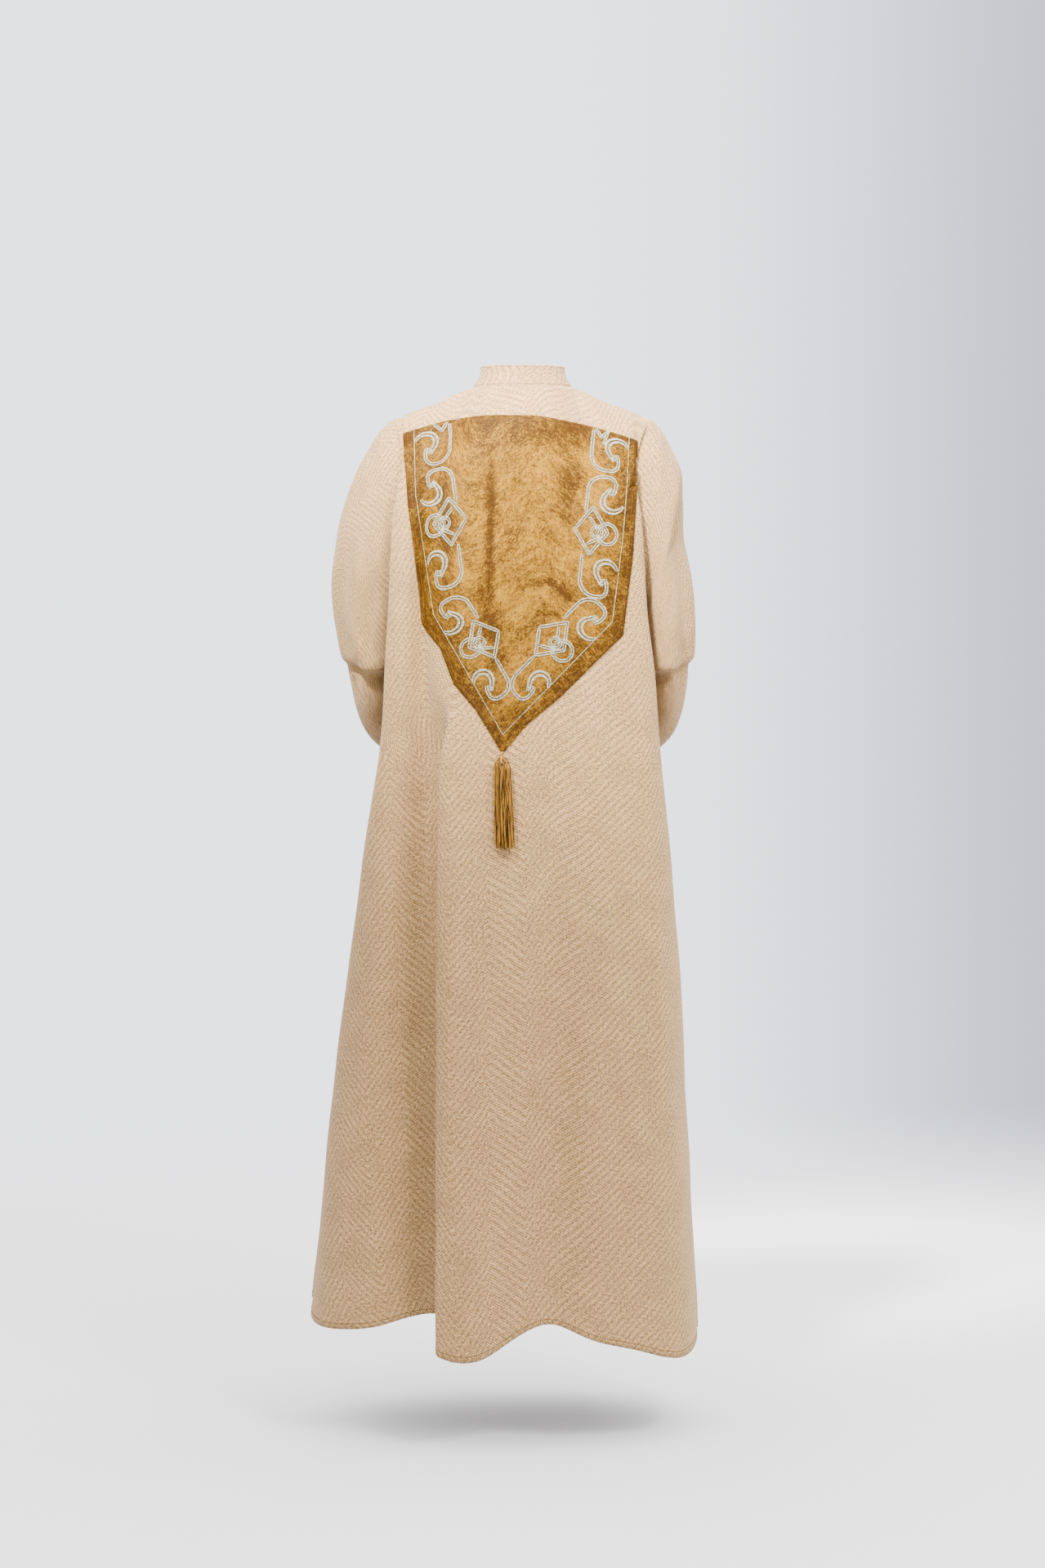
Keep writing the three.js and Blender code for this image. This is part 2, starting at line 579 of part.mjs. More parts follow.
// ---- sleeves -----------------------------------------------------------------------------------------
// The armhole seam as one loop: up the back from the underarm, over the shoulder, down the front.
function armholeLoop(back, front, side) {
  const backColumn = side.sign > 0 ? back.columns.length - 1 : 0;
  const frontColumn = front.columns.length - 1;
  const loop = [];
  for (let i = UNDERARM_ROW; i <= TOP_ROW; i += 1) {
    loop.push({ point: back.grid[i][backColumn], normal: back.normals[i][backColumn] });
  }
  for (let i = TOP_ROW - 1; i > UNDERARM_ROW; i -= 1) {
    loop.push({ point: front.grid[i][frontColumn], normal: front.normals[i][frontColumn] });
  }
  return loop.map(({ point, normal }, k) => {
    const next = loop[(k + 1) % loop.length].point;
    const previous = loop[(k + loop.length - 1) % loop.length].point;
    const along = next.clone().sub(previous).normalize();
    const onwards = along.clone().cross(normal).multiplyScalar(-side.sign).normalize();
    return { point, normal, onwards };
  });
}

function sleeveRing(section, index, count, side) {
  const outX = side.sign > 0 ? section.outLeft : -section.outRight;
  const inX = side.sign * (section.inX - (side.sign > 0 ? 0 : RIGHT_SLEEVE_IN));
  const outer = new THREE.Vector3(outX, section.outY, section.outZ);
  const inner = new THREE.Vector3(inX, section.inY, section.inZ);
  const middle = mixPoint(outer, inner, 0.5);
  const across = outer.clone().sub(inner).multiplyScalar(0.5);
  const level = new THREE.Vector3(-across.y, across.x, 0).multiplyScalar(side.sign).normalize();
  const bend = radians(section.bend);
  const deep = level.multiplyScalar(Math.cos(bend)).add(new THREE.Vector3(0, 0, -Math.sin(bend)));
  return Array.from({ length: count }, (_, k) => {
    const degrees = (360 * k) / count;
    const angle = radians(degrees);
    const swell = sleeveFoldHeight(degrees, index);
    const width = across.length() + swell;
    return middle.clone()
      .addScaledVector(across.clone().normalize(), -Math.cos(angle) * width)
      .addScaledVector(deep, Math.sin(angle) * (section.deep + swell));
  });
}

function sleeveFoldHeight(degrees, index) {
  let height = 0;
  for (const fold of SLEEVE_FOLDS) {
    const along = Math.min(index - fold.from, fold.to - index);
    height += fold.out * bell((degrees - fold.angle) / fold.width) * ease(along / SLEEVE_FOLD_FADE);
  }
  return height;
}

// The sleeve above its elbow crease and the sleeve below it.
function sleeveGeometries(back, front, side) {
  const loop = armholeLoop(back, front, side);
  const runOn = (distance) => loop.map(
    ({ point, onwards }) => point.clone().addScaledVector(onwards, distance));
  const rings = SLEEVE_SECTIONS.map((section, index) => sleeveRing(section, index, loop.length, side));
  const start = [runOn(SEAM_GAP), runOn(SLEEVE_START)];
  const grid = [...start, ...rings];
  const normals = gridNormals(grid, side.sign, true);
  loop.forEach(({ normal }, k) => normals[0][k].copy(normal));
  const elbow = start.length + ELBOW_SECTION;
  const below = grid.slice(elbow);
  below[0] = below[0].map((p, k) => {
    const onwards = below[1][k].clone().sub(p).normalize();
    return p.clone().addScaledVector(onwards, SEAM_GAP);
  });
  const upper = wallGeometry(grid.slice(0, elbow + 1), normals.slice(0, elbow + 1), 0, -CLOTH, true);
  const lower = wallGeometry(below, normals.slice(elbow), 0, -CLOTH, true);
  return { upper, lower };
}

// ---- collar ------------------------------------------------------------------------------------------
function collarGeometry(back, frontLeft, frontRight) {
  const top = TOP_ROW;
  const edge = (piece, j) => {
    const point = piece.grid[top][j];
    const onwards = point.clone().sub(piece.grid[top - 1][j]).normalize();
    return { point, onwards, normal: piece.normals[top][j] };
  };
  const leftNeck = Array.from({ length: NECK_SPANS }, (_, j) => edge(frontLeft, j));
  const rightNeck = Array.from({ length: NECK_SPANS }, (_, j) => edge(frontRight, j)).reverse();
  const backNeck = back.columns.map((s, j) => ({ s, j }))
    .filter(({ s }) => Math.abs(s) <= NECK_SHARE + 1e-6)
    .map(({ j }) => edge(back, j))
    .reverse();
  const seam = [...leftNeck, ...backNeck, ...rightNeck];
  const grid = COLLAR_ROWS.map(({ rise, lean }) => seam.map(({ point, onwards }) => {
    const inwards = new THREE.Vector3(-point.x, NECK_Y - point.y, 0).normalize();
    const up = new THREE.Vector3(0, 0, rise * COLLAR_HEIGHT);
    const foot = point.clone().addScaledVector(onwards, SEAM_GAP);
    return foot.addScaledVector(inwards, lean * COLLAR_LEAN).add(up);
  }));
  const normals = gridNormals(grid, 1);
  seam.forEach(({ normal }, j) => normals[0][j].copy(normal));
  return wallGeometry(grid, normals, 0, -CLOTH);
}

// ---- velvet panel --------------------------------------------------------------------------------------
function panelGeometry(back) {
  const rear = back.columns.map((s, j) => ({ s, j })).filter(({ s }) => Math.abs(s) <= PANEL_REACH);
  const rows = back.grid.map((_, i) => i).filter((i) => back.grid[i][0].z > PANEL_ROWS_BELOW && i < TOP_ROW);
  const pick = (source) => rows.map((i) => rear.map(({ j }) => source[i][j]));
  const layer = wallGeometry(pick(back.grid), pick(back.normals), LAY_GAP + VELVET, LAY_GAP);
  const outline = [...PANEL_TOP, ...PANEL_RIGHT, PANEL_POINT, ...PANEL_LEFT];
  const shape = new THREE.Shape(outline.map(([x, z]) => new THREE.Vector2(x, z)));
  const depth = PANEL_CUT.far - PANEL_CUT.near;
  const prism = new THREE.ExtrudeGeometry(shape, { depth, bevelEnabled: false });
  prism.rotateX(Math.PI / 2).translate(0, PANEL_CUT.far, 0);
  return fromManifold(toManifold(layer).intersect(toManifold(prism)));
}

// ---- tassel --------------------------------------------------------------------------------------------
// How far back the cloth stands at a place near the middle of the back.
function backDepthAt(x, z) {
  let low = -FOLD_AT;
  let high = FOLD_AT - 2 * FOLD_WIDTH;
  for (let i = 0; i < 30; i += 1) {
    const middle = (low + high) / 2;
    if (foldedBackPoint(middle, z, SIDE_Y).x < x) low = middle;
    else high = middle;
  }
  return foldedBackPoint(low, z, SIDE_Y).y;
}

// A closed three-sided strand along a few points.
function strandGeometry(path, radius) {
  const sides = 3;
  const points = path.flatMap((p) => Array.from({ length: sides }, (_, k) => {
    const angle = (2 * Math.PI * k) / sides;
    return new THREE.Vector3(p.x + radius * Math.cos(angle), p.y + radius * Math.sin(angle), p.z);
  }));
  const triangles = [];
  for (let i = 0; i < path.length - 1; i += 1) {
    for (let k = 0; k < sides; k += 1) {
      const [a, b] = [i * sides + k, i * sides + ((k + 1) % sides)];
      triangles.push([a, b, b + sides], [a, b + sides, a + sides]);
    }
  }
  const end = (path.length - 1) * sides;
  triangles.push([0, 2, 1], [end, end + 1, end + 2]);
  return closedGeometry(points, triangles);
}

function tasselGeometry() {
  const { top, bottom, headLength, headRadius, rings } = TASSEL;
  const thickness = rings * TASSEL.endSpacing * TASSEL.flatten + TASSEL.strandRadius;
  const axisAt = (share) => {
    const z = mix(top, bottom, share);
    const x = TASSEL.x + TASSEL.lean * share;
    const lift = mix(headRadius + LAY_GAP + VELVET, thickness, ease((share - 0.15) * 2)) + 1.5;
    return new THREE.Vector3(x, backDepthAt(x, z) + lift, z);
  };
  const profile = HEAD_PROFILE.map(
    ({ radius, down }) => new THREE.Vector2(radius * headRadius, -down * headLength));
  const head = new THREE.LatheGeometry(profile.reverse(), 12);
  const start = axisAt(0);
  head.rotateX(Math.PI / 2).translate(start.x, start.y, start.z);
  let solid = toManifold(head);
  const rootShare = (headLength * 0.82) / (top - bottom);
  for (let ring = 0; ring <= rings; ring += 1) {
    const count = Math.max(1, 6 * ring);
    for (let k = 0; k < count; k += 1) {
      const angle = (2 * Math.PI * k) / count + ring * 0.4;
      const short = ((k * 7 + ring * 3) % 5) / 5;
      const shares = [rootShare, 0.5, 1 - 0.03 * short];
      const path = shares.map((share) => {
        const spread = ring * mix(TASSEL.topSpacing, TASSEL.endSpacing, ease((share - rootShare) / 0.7));
        const place = axisAt(share);
        place.x += spread * Math.cos(angle);
        place.y += spread * Math.sin(angle) * TASSEL.flatten;
        return place;
      });
      solid = solid.add(toManifold(strandGeometry(path, TASSEL.strandRadius)));
    }
  }
  return fromManifold(solid);
}

// ---- the garment ---------------------------------------------------------------------------------------
const woven = new THREE.MeshStandardMaterial({ color: 0xdecbb2, roughness: 0.9, metalness: 0 });
const velvet = new THREE.MeshStandardMaterial({ color: 0xac7c3e, roughness: 0.7, metalness: 0 });
const goldThread = new THREE.MeshStandardMaterial({ color: 0xb98c3c, roughness: 0.45, metalness: 0.2 });

const LEFT = { name: 'left', sign: 1 };
const RIGHT = { name: 'right', sign: -1 };

function buildAbaya() {
  const back = backGrid();
  const frontLeft = frontGrid(LEFT);
  const frontRight = frontGrid(RIGHT);
  const wall = ({ grid, normals }) => wallGeometry(grid, normals, 0, -CLOTH);
  const abaya = new THREE.Group();
  abaya.add(solidMesh('back', wall(back), woven));
  abaya.add(solidMesh('front_left', wall(frontLeft), woven));
  abaya.add(solidMesh('front_right', wall(frontRight), woven));
  for (const [side, front] of [[LEFT, frontLeft], [RIGHT, frontRight]]) {
    const { upper, lower } = sleeveGeometries(back, front, side);
    abaya.add(solidMesh(`sleeve_${side.name}_upper`, upper, woven));
    abaya.add(solidMesh(`sleeve_${side.name}_lower`, lower, woven));
  }
  abaya.add(solidMesh('collar', collarGeometry(back, frontLeft, frontRight), woven));
  abaya.add(solidMesh('back_panel', panelGeometry(back), velvet));
  abaya.add(solidMesh('tassel', tasselGeometry(), goldThread));
  return abaya;
}

export default buildAbaya();
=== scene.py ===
"""Dresses a long cream abaya with a velvet back panel, border embroidery and a tassel.

Sizes are worked out in millimetres and put into the meshes in metres. +Z is up, the wearer faces -Y.
"""

import math

import bpy
import numpy as np
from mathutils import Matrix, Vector
from mathutils.bvhtree import BVHTree
from mathutils.geometry import barycentric_transform


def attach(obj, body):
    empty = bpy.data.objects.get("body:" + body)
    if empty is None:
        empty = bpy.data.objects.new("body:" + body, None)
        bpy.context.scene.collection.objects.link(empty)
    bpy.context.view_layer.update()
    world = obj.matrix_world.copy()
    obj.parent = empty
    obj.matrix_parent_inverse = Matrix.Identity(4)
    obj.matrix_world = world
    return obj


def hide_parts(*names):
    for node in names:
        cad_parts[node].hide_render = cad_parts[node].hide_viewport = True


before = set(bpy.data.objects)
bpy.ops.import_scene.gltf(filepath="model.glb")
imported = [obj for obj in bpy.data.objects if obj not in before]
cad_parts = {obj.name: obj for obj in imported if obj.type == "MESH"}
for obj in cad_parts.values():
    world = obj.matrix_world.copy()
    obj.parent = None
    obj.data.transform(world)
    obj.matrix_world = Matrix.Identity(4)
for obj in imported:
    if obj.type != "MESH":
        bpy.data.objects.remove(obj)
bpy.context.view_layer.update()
MM = 0.001

# ---- sizes of the garment
CLOTH = 2.0
VELVET = 1.4
SEAM_GAP = 0.02  # between two cloths at a seam
HEM = -1360.0
UNDERARM = -340.0
SHOULDER = -46.0
SIDE_Y = -2.0  # where the side seams lie from front to back
ARMHOLE_REAR = 64.0
ARMHOLE_FRONT = -72.0
NECK_HALF = 72.0
NECK_Y = 10.0
NECK_END = -4.0
NECK_BACK = (62.0, -7.0)  # depth and level at the middle
NECK_FRONT = (-86.0, -72.0)
PART_TOP, PART_HEM = 3.0, 20.0  # half gap between the fronts
COLLAR_HEIGHT = 30.0
COLLAR_LEAN = 11.0
TURN = 0.78  # share of a half section at which it is widest
NECK_SHARE = 0.36  # share of a top edge that is the neck's
FOLD_AT, FOLD_WIDTH = 0.25, 0.05  # column and half width of the sharp fold
HEM_TILT, HEM_FADE = 22.0, 380.0  # lean of the hem, and how far above it the lean is gone

# Level sections of the back: z, left, right, depth, bend, seam left, seam right, place of the sharp fold.
BACK = np.array([
    (-1400, 308, 253, 232, 46, 308, 253, 0.168),
    (-1105, 280, 240, 198, 44, 278, 239, 0.188),
    (-900, 256, 230, 174, 46, 251, 226, 0.212),
    (-740, 234, 218, 158, 52, 224, 209, 0.238),
    (-620, 217, 208, 146, 60, 197, 189, 0.258),
    (-540, 205, 199, 138, 68, 176, 171, 0.272),
    (-430, 198, 191, 128, 76, 166, 160, 0.286),
    (-340, 194, 181, 121, 78, 166, 158, 0.3),
    (-260, 190, 175, 117, 78, 167, 157, 0.312),
    (-193, 187, 171, 111, 76, 168, 158, 0.322),
])
# Level sections of the fronts: z, widest share of the seam's width, depth, bend.
FRONT = np.array([
    (-1400, 1, 190, 40),
    (-1105, 1, 162, 34),
    (-900, 1, 142, 26),
    (-740, 1, 122, 16),
    (-620, 1, 104, 8),
    (-540, 1, 96, 4),
    (-430, 1, 98, 6),
    (-340, 1.02, 106, 40),
    (-260, 1.06, 114, 84),
    (-193, 1.07, 112, 88),
])
ARMHOLE = np.array([(-340, 166, 158), (-193, 168, 158), (-110, 174, 166), (-70, 181, 177), (-46, 187, 187)])
BACK_MIDDLE = np.array([(-193, 111), (-120, 104), (-60, 90), (-7, 62)])
FRONT_MIDDLE = np.array([(-193, 112), (-140, 106), (-100, 96), (-72, 86)])
SHOULDER_LINE = np.array([(72, -4), (96, -13), (124, -26), (155, -36), (187, -46)])

# Soft folds: column at the top and hem, half width, upper end, height at the top and hem, drop of the hem.
BACK_FOLDS = (
    (0.68, 0.6, 0.13, -420, 2, 12, -8),
    (0.4, 0.345, 0.065, -110, -20, -40, 14),
    (0.17, 0.15, 0.08, -110, 5, 20, -20),
    (-0.05, -0.08, 0.1, -420, -4, -20, 24),
    (-0.45, -0.5, 0.17, -430, 3, 12, -24),
)
FRONT_FOLDS = (
    (0.22, 0.2, 0.1, -560, 0, 13, -9),
    (0.47, 0.44, 0.1, -580, 0, -17, 12),
    (0.74, 0.7, 0.12, -600, 0, 11, -7),
)
# The sharp fold: levels where it starts and is whole, lean, step, reach to both sides, drop of the hem.
SHARP = {"from": -440, "full": -560, "lean": 2.2, "step": 13, "reach": 0.15, "drop": 12}

# Sections of a sleeve: out left, out right, out y, out z, in x, in y, in z, half depth, bend.
SLEEVE = np.array([
    (206, 203, -2, -64, 176, -2, -343, 62, 0),
    (221, 215, -2, -88, 178, -2, -347, 64, 0),
    (244, 233, -2, -128, 180, -3, -352, 67, 0),
    (262, 237, -2, -176, 181, -5, -358, 70, 0),
    (272, 237, -4, -226, 181, -8, -364, 72, 0),
    (279, 246, -8, -280, 181, -11, -371, 73, 2),
    (275, 251, -12, -334, 181, -14, -379, 74, 6),
    (268, 252, -16, -376, 180, -18, -388, 75, 12),
    (263, 251, -20, -392, 180, -21, -394, 75, 18),
    (257, 245, -24, -403, 180, -25, -401, 62, 20),
    (254, 244, -34, -424, 177, -34, -418, 62, 34),
    (248, 238, -58, -450, 170, -47, -442, 62, 50),
    (232, 224, -98, -476, 156, -68, -466, 60, 62),
    (200, 196, -154, -500, 126, -110, -490, 58, 70),
    (160, 158, -208, -522, 90, -158, -512, 56, 72),
    (120, 120, -252, -540, 56, -198, -530, 54, 72),
], float)
SLEEVE_FOLDS = ((128, 15, -7, 2, 11), (160, 13, 4, 3, 10), (235, 18, -5, 3, 12))
RUN_ON = 5.0  # how far a sleeve runs straight on from its seam
RIGHT_INWARDS = 7  # how much farther in the right sleeve's inner side lies

# Outline of the velvet panel from behind, as x and z.
PANEL_TOP = [(173, -76), (107, -58), (52, -55), (-21, -56), (-94, -67), (-166, -87)]
PANEL_RIGHT = [
    (-166, -87), (-165, -144), (-157, -261), (-143, -372), (-106, -408), (-55, -459), (-4, -502), (29, -542)
]
PANEL_LEFT = [
    (173, -76), (163, -193), (149, -313), (146, -352), (117, -390), (98, -441), (67, -479), (43, -518),
    (29, -542),
]


# ---- small helpers
def placed(name, data):
    """An object that shows some data, put into the scene."""
    made = bpy.data.objects.new(name, data)
    bpy.context.scene.collection.objects.link(made)
    return made


def mix(a, b, t):
    return a + (b - a) * t


def ease(t):
    t = np.clip(t, 0, 1)
    return t * t * (3 - 2 * t)


def bell(t):
    return np.exp(-np.square(t))


def curve(a, b, rise_a, rise_b, t):
    """From a to b, leaving and arriving with given slopes."""
    bend = rise_a * t * (1 - t) ** 2 + rise_b * t * t * (t - 1)
    return a * (1 + 2 * t) * (1 - t) ** 2 + b * t * t * (3 - 2 * t) + bend


def smooth(keys, values, at):
    """Reads a table at some places, on a smooth curve through its rows."""
    if keys[-1] < keys[0]:
        keys, values = keys[::-1], values[::-1]
    n = len(keys)
    i = np.clip(np.searchsorted(keys, at, side="left") - 1, 0, n - 2)
    before, after = np.maximum(np.arange(n) - 1, 0), np.minimum(np.arange(n) + 1, n - 1)
    slope = (values[after] - values[before]) / (keys[after] - keys[before])
    span = keys[i + 1] - keys[i]
    t = np.clip((at - keys[i]) / span, 0, 1)
    return curve(values[i], values[i + 1], slope[i] * span, slope[i + 1] * span, t)


def column(table, number, at):
    return smooth(table[:, 0], table[:, number].astype(float), np.asarray(at, float))


def by_side(table, first, left, at):
    """Reads the left side's column of a table, or the right side's next to it."""
    return np.where(left, column(table, first, at), column(table, first + 1, at))


def unit(v):
    return v / np.maximum(np.linalg.norm(v, axis=-1, keepdims=True), 1e-9)


def point(x, y, z):
    return np.stack(np.broadcast_arrays(x, y, z), axis=-1).astype(float)


def along(path, spacing):
    """Points spaced evenly on a line through some corners."""
    path = np.asarray(path, float)
    step = np.r_[0, np.cumsum(np.linalg.norm(np.diff(path, axis=0), axis=1))]
    at = np.linspace(0, step[-1], max(2, int(step[-1] / spacing) + 1))
    return np.stack([np.interp(at, step, path[:, k]) for k in range(path.shape[1])], axis=-1)


# ---- camera
EYE = (0.0, 4.35, -0.584)
LENS_MM = 68.2
SENSOR_MM = 36.0


def place_camera():
    data = bpy.data.cameras.new("eye")
    data.lens, data.sensor_width = LENS_MM, SENSOR_MM
    camera = placed("eye", data)
    camera.location = EYE
    camera.rotation_euler = (math.pi / 2, 0, math.pi)
    bpy.context.scene.camera = camera


# ---- sections of the body
def half_section(s, start, wide, depth, bend, seam_x, seam_y):
    """A quarter ellipse out to the widest point, then a run to the side seam."""
    angle = np.minimum(s / TURN, 1) * (math.pi / 2)
    run = np.clip((s - TURN) / (1 - TURN), 0, 1)
    x = np.where(s <= TURN, mix(start, wide, np.sin(angle)), mix(wide, seam_x, ease(run * 1.5)))
    y = np.where(s <= TURN, mix(bend, depth, np.cos(angle)), mix(bend, seam_y, run))
    return x, y


def back_section(s, z, seam_x, seam_y):
    left = s >= 0
    fold = column(BACK, 7, z)
    folded = np.where(s <= FOLD_AT, s * fold / FOLD_AT, mix(fold, 1, (s - FOLD_AT) / (1 - FOLD_AT)))
    share = np.where(left, folded, -s)
    depth, bend = column(BACK, 3, z), column(BACK, 4, z)
    x, y = half_section(share, 0, by_side(BACK, 1, left, z), depth, bend, seam_x, seam_y)
    return point(np.where(left, x, -x), y, z)


def folds_at(folds, s, z):
    out, drop = 0, 0
    for top, hem, width, upper, out_top, out_hem, lower in folds:
        down = np.clip((upper - z) / (upper - HEM), 0, 1)
        shape = bell((s - mix(top, hem, down)) / width)
        out = out + ease((upper - z) / 200) * mix(out_top, out_hem, down) * shape
        drop = drop + lower * shape
    return out, drop


def hem_share(z):
    return np.clip(1 - (z - HEM) / HEM_FADE, 0, 1) ** 2


def level_normal(point_at, s):
    across = point_at(s + 0.01) - point_at(s - 0.01)
    across[..., 2] = 0
    across = unit(across)
    return point(-across[..., 1], across[..., 0], 0)


def seam_width(z, left):
    return np.where(z > UNDERARM, by_side(ARMHOLE, 1, left, z), by_side(BACK, 5, left, z))


def folded_back(s, z, seam_y):
    """A place on the back below the middle of the armhole, with its folds. s is -1 at the right seam."""
    s, z = np.broadcast_arrays(np.asarray(s, float), np.asarray(z, float))
    seam_x = seam_width(z, s >= 0)

    def point_at(share):
        return back_section(share, z, seam_x, seam_y)

    sharpness = ease((SHARP["from"] - z) / (SHARP["from"] - SHARP["full"]))
    q = (s - FOLD_AT) / FOLD_WIDTH
    place = point_at(s - sharpness * SHARP["lean"] * (s - FOLD_AT) * bell(q / math.sqrt(2)))
    step = -np.tanh(q / 0.8) * bell((s - FOLD_AT) / SHARP["reach"])
    out, drop = folds_at(BACK_FOLDS, s, z)
    at_seam = ease((1 - np.abs(s)) / 0.2)
    height = (out + step * SHARP["step"] * sharpness) * at_seam
    place = place + level_normal(point_at, s * 0.97) * height[..., None]
    place[..., 2] += hem_share(z) * ((drop - step * SHARP["drop"]) * at_seam + HEM_TILT * s)
    return place


def folded_front(s, z, sign, seam_y):
    s, z = np.broadcast_arrays(np.asarray(s, float), np.asarray(z, float))
    seam_x = seam_width(z, sign > 0)
    fallen = np.clip((SHOULDER - z) / (SHOULDER - HEM), 0, 1)

    def point_at(share):
        wide = seam_x * column(FRONT, 1, z)
        start = mix(PART_TOP, PART_HEM, fallen)
        x, y = half_section(share, start, wide, column(FRONT, 2, z), column(FRONT, 3, z), seam_x, -seam_y)
        return point(sign * x, -y, z)

    out, drop = folds_at(FRONT_FOLDS, s, z)
    at_seam = ease((1 - s) / 0.2)
    normal = level_normal(point_at, np.clip(s * 0.97 + 0.01, 0, 1))
    place = point_at(s) - normal * (sign * out * at_seam)[..., None]
    place[..., 2] += hem_share(z) * (drop * at_seam + HEM_TILT * sign)
    return place


def top_edge(s, middle, start):
    """From the middle of the neck (0) by the neck to the shoulder point (1)."""
    t = np.clip((s - NECK_SHARE) / (1 - NECK_SHARE), 0, 1)
    x = mix(NECK_HALF, SHOULDER_LINE[-1][0], t)
    shoulder = point(x, mix(NECK_Y, SIDE_Y, t), column(SHOULDER_LINE, 1, x))
    angle = np.clip(s / NECK_SHARE, 0, 1) * (math.pi / 2)
    depth, level = middle
    neck = point(
        mix(start, NECK_HALF, np.sin(angle)),
        mix(NECK_Y, depth, np.cos(angle)),
        mix(NECK_END, level, np.cos(angle)),
    )
    return np.where((s > NECK_SHARE)[..., None], shoulder, neck)


def armhole_edge(angle, half):
    turn = np.radians(angle)
    middle, reach = (UNDERARM + SHOULDER) / 2, (SHOULDER - UNDERARM) / 2
    return SIDE_Y + half * np.sin(turn), middle - reach * np.cos(turn)


def body_panel(columns, folded, half, neck, middle_table, sign_of, start):
    """A back or front as a grid of places, from the hem up to the top edge."""
    s = columns[None, :]
    rows = [folded(s, SKIRT_ROWS[:, None], SIDE_Y)]
    low = ARM_ANGLES[ARM_ANGLES <= 90]
    y, z = armhole_edge(low, half)
    rows.append(folded(s, z[:, None], y[:, None]))
    high = ARM_ANGLES[ARM_ANGLES > 90]
    w = ((high - 90) / 90)[:, None]
    share, sign = np.abs(s), sign_of(s)
    across = point(sign, 1, 1)
    mid_y, mid_z = armhole_edge(90, half)
    ends = 0 * s, sign if start == 0 else 0 * s + 1
    row, row_0, row_1 = (folded(x, mid_z, mid_y) for x in (s, *ends))
    places = share, 0 * share, 0 * share + 1
    top, top_0, top_1 = (top_edge(x, neck, start) * across for x in places)
    level = mix(mid_z, neck[1], w)
    facing = 1 if half > 0 else -1
    middle = point(0 * s + sign * start, facing * column(middle_table, 1, level), level)
    edge_y, edge_z = armhole_edge(mix(90, 180, w), half)
    edge = point(sign * seam_width(edge_z, sign > 0), edge_y, edge_z)
    w3, share = w[..., None], share[..., None]
    patch = mix(row, top, w3) + (middle - mix(row_0, top_0, w3)) * (1 - share)
    rows.append(patch + (edge - mix(row_1, top_1, w3)) * share)
    return np.concatenate(rows)


def grid_normals(grid, sign, round_it=False):
    if round_it:
        across = np.roll(grid, -1, axis=1) - np.roll(grid, 1, axis=1)
    else:
        across = np.gradient(grid, axis=1)
    return unit(np.cross(across, np.gradient(grid, axis=0)) * sign)


SKIRT_ROWS = np.linspace(HEM, UNDERARM, 151)[:-1]
ARM_ANGLES = np.linspace(0, 180, 49)
UNDERARM_ROW = len(SKIRT_ROWS)


def columns_through(*stops):
    """Columns from stop to stop, each with how many lead to the next one."""
    runs = [np.linspace(a, b, count)[:-1] for a, count, b in zip(stops[:-2:2], stops[1::2], stops[2::2])]
    return np.concatenate([*runs, [stops[-1]]])


BACK_COLUMNS = columns_through(-1, 40, -NECK_SHARE, 30, 0.15, 34, NECK_SHARE, 40, 1)
FRONT_COLUMNS = columns_through(0, 20, NECK_SHARE, 40, 1)


def back_grid():
    def sign_of(s):
        return np.where(s >= 0, 1.0, -1.0)

    return body_panel(BACK_COLUMNS, folded_back, ARMHOLE_REAR, NECK_BACK, BACK_MIDDLE, sign_of, 0)


def front_grid(sign):
    def folded(s, z, seam_y):
        return folded_front(s, z, sign, seam_y)

    def sign_of(s):
        return 0 * s + float(sign)

    return body_panel(FRONT_COLUMNS, folded, ARMHOLE_FRONT, NECK_FRONT, FRONT_MIDDLE, sign_of, PART_TOP)


# ---- creases
FAR = 1e9


def from_segment(places, a, b):
    """How far each place lies from a segment, and at which share along it."""
    share = np.clip(((places - a) @ (b - a)) / ((b - a) @ (b - a)), 0, 1)
    return np.linalg.norm(places - (a + share[..., None] * (b - a)), axis=-1), share


def crease(places, width, depth, *path, pitch=1):
    """How far a soft trough or ridge along a line moves each place, fading at the line's two ends."""
    path = np.reshape(path, (-1, 2)) / (pitch, 1)
    best, run = np.full(places.shape[:-1], FAR), np.zeros(places.shape[:-1])
    lengths = np.linalg.norm(np.diff(path, axis=0), axis=1)
    gone = 0.0
    for a, b, length in zip(path[:-1], path[1:], lengths):
        away, share = from_segment(places, a, b)
        run = np.where(away < best, (gone + share * length) / lengths.sum(), run)
        best = np.minimum(away, best)
        gone += length
    return depth * bell(best / width) * np.sin(math.pi * np.clip(run, 0.02, 0.98)) ** 0.6


def sway(places, seed, size, height):
    """Slow uneven waves over a cloth."""
    pick = np.random.default_rng(seed)
    total = np.zeros(places.shape[:-1])
    for _ in range(9):
        turn = pick.uniform(0, math.tau)
        pitch = size * pick.uniform(0.7, 1.8)
        way = np.array([math.cos(turn), math.sin(turn)])
        total += np.sin((places @ way) / pitch * math.tau + pick.uniform(0, math.tau))
    return total * height / 3


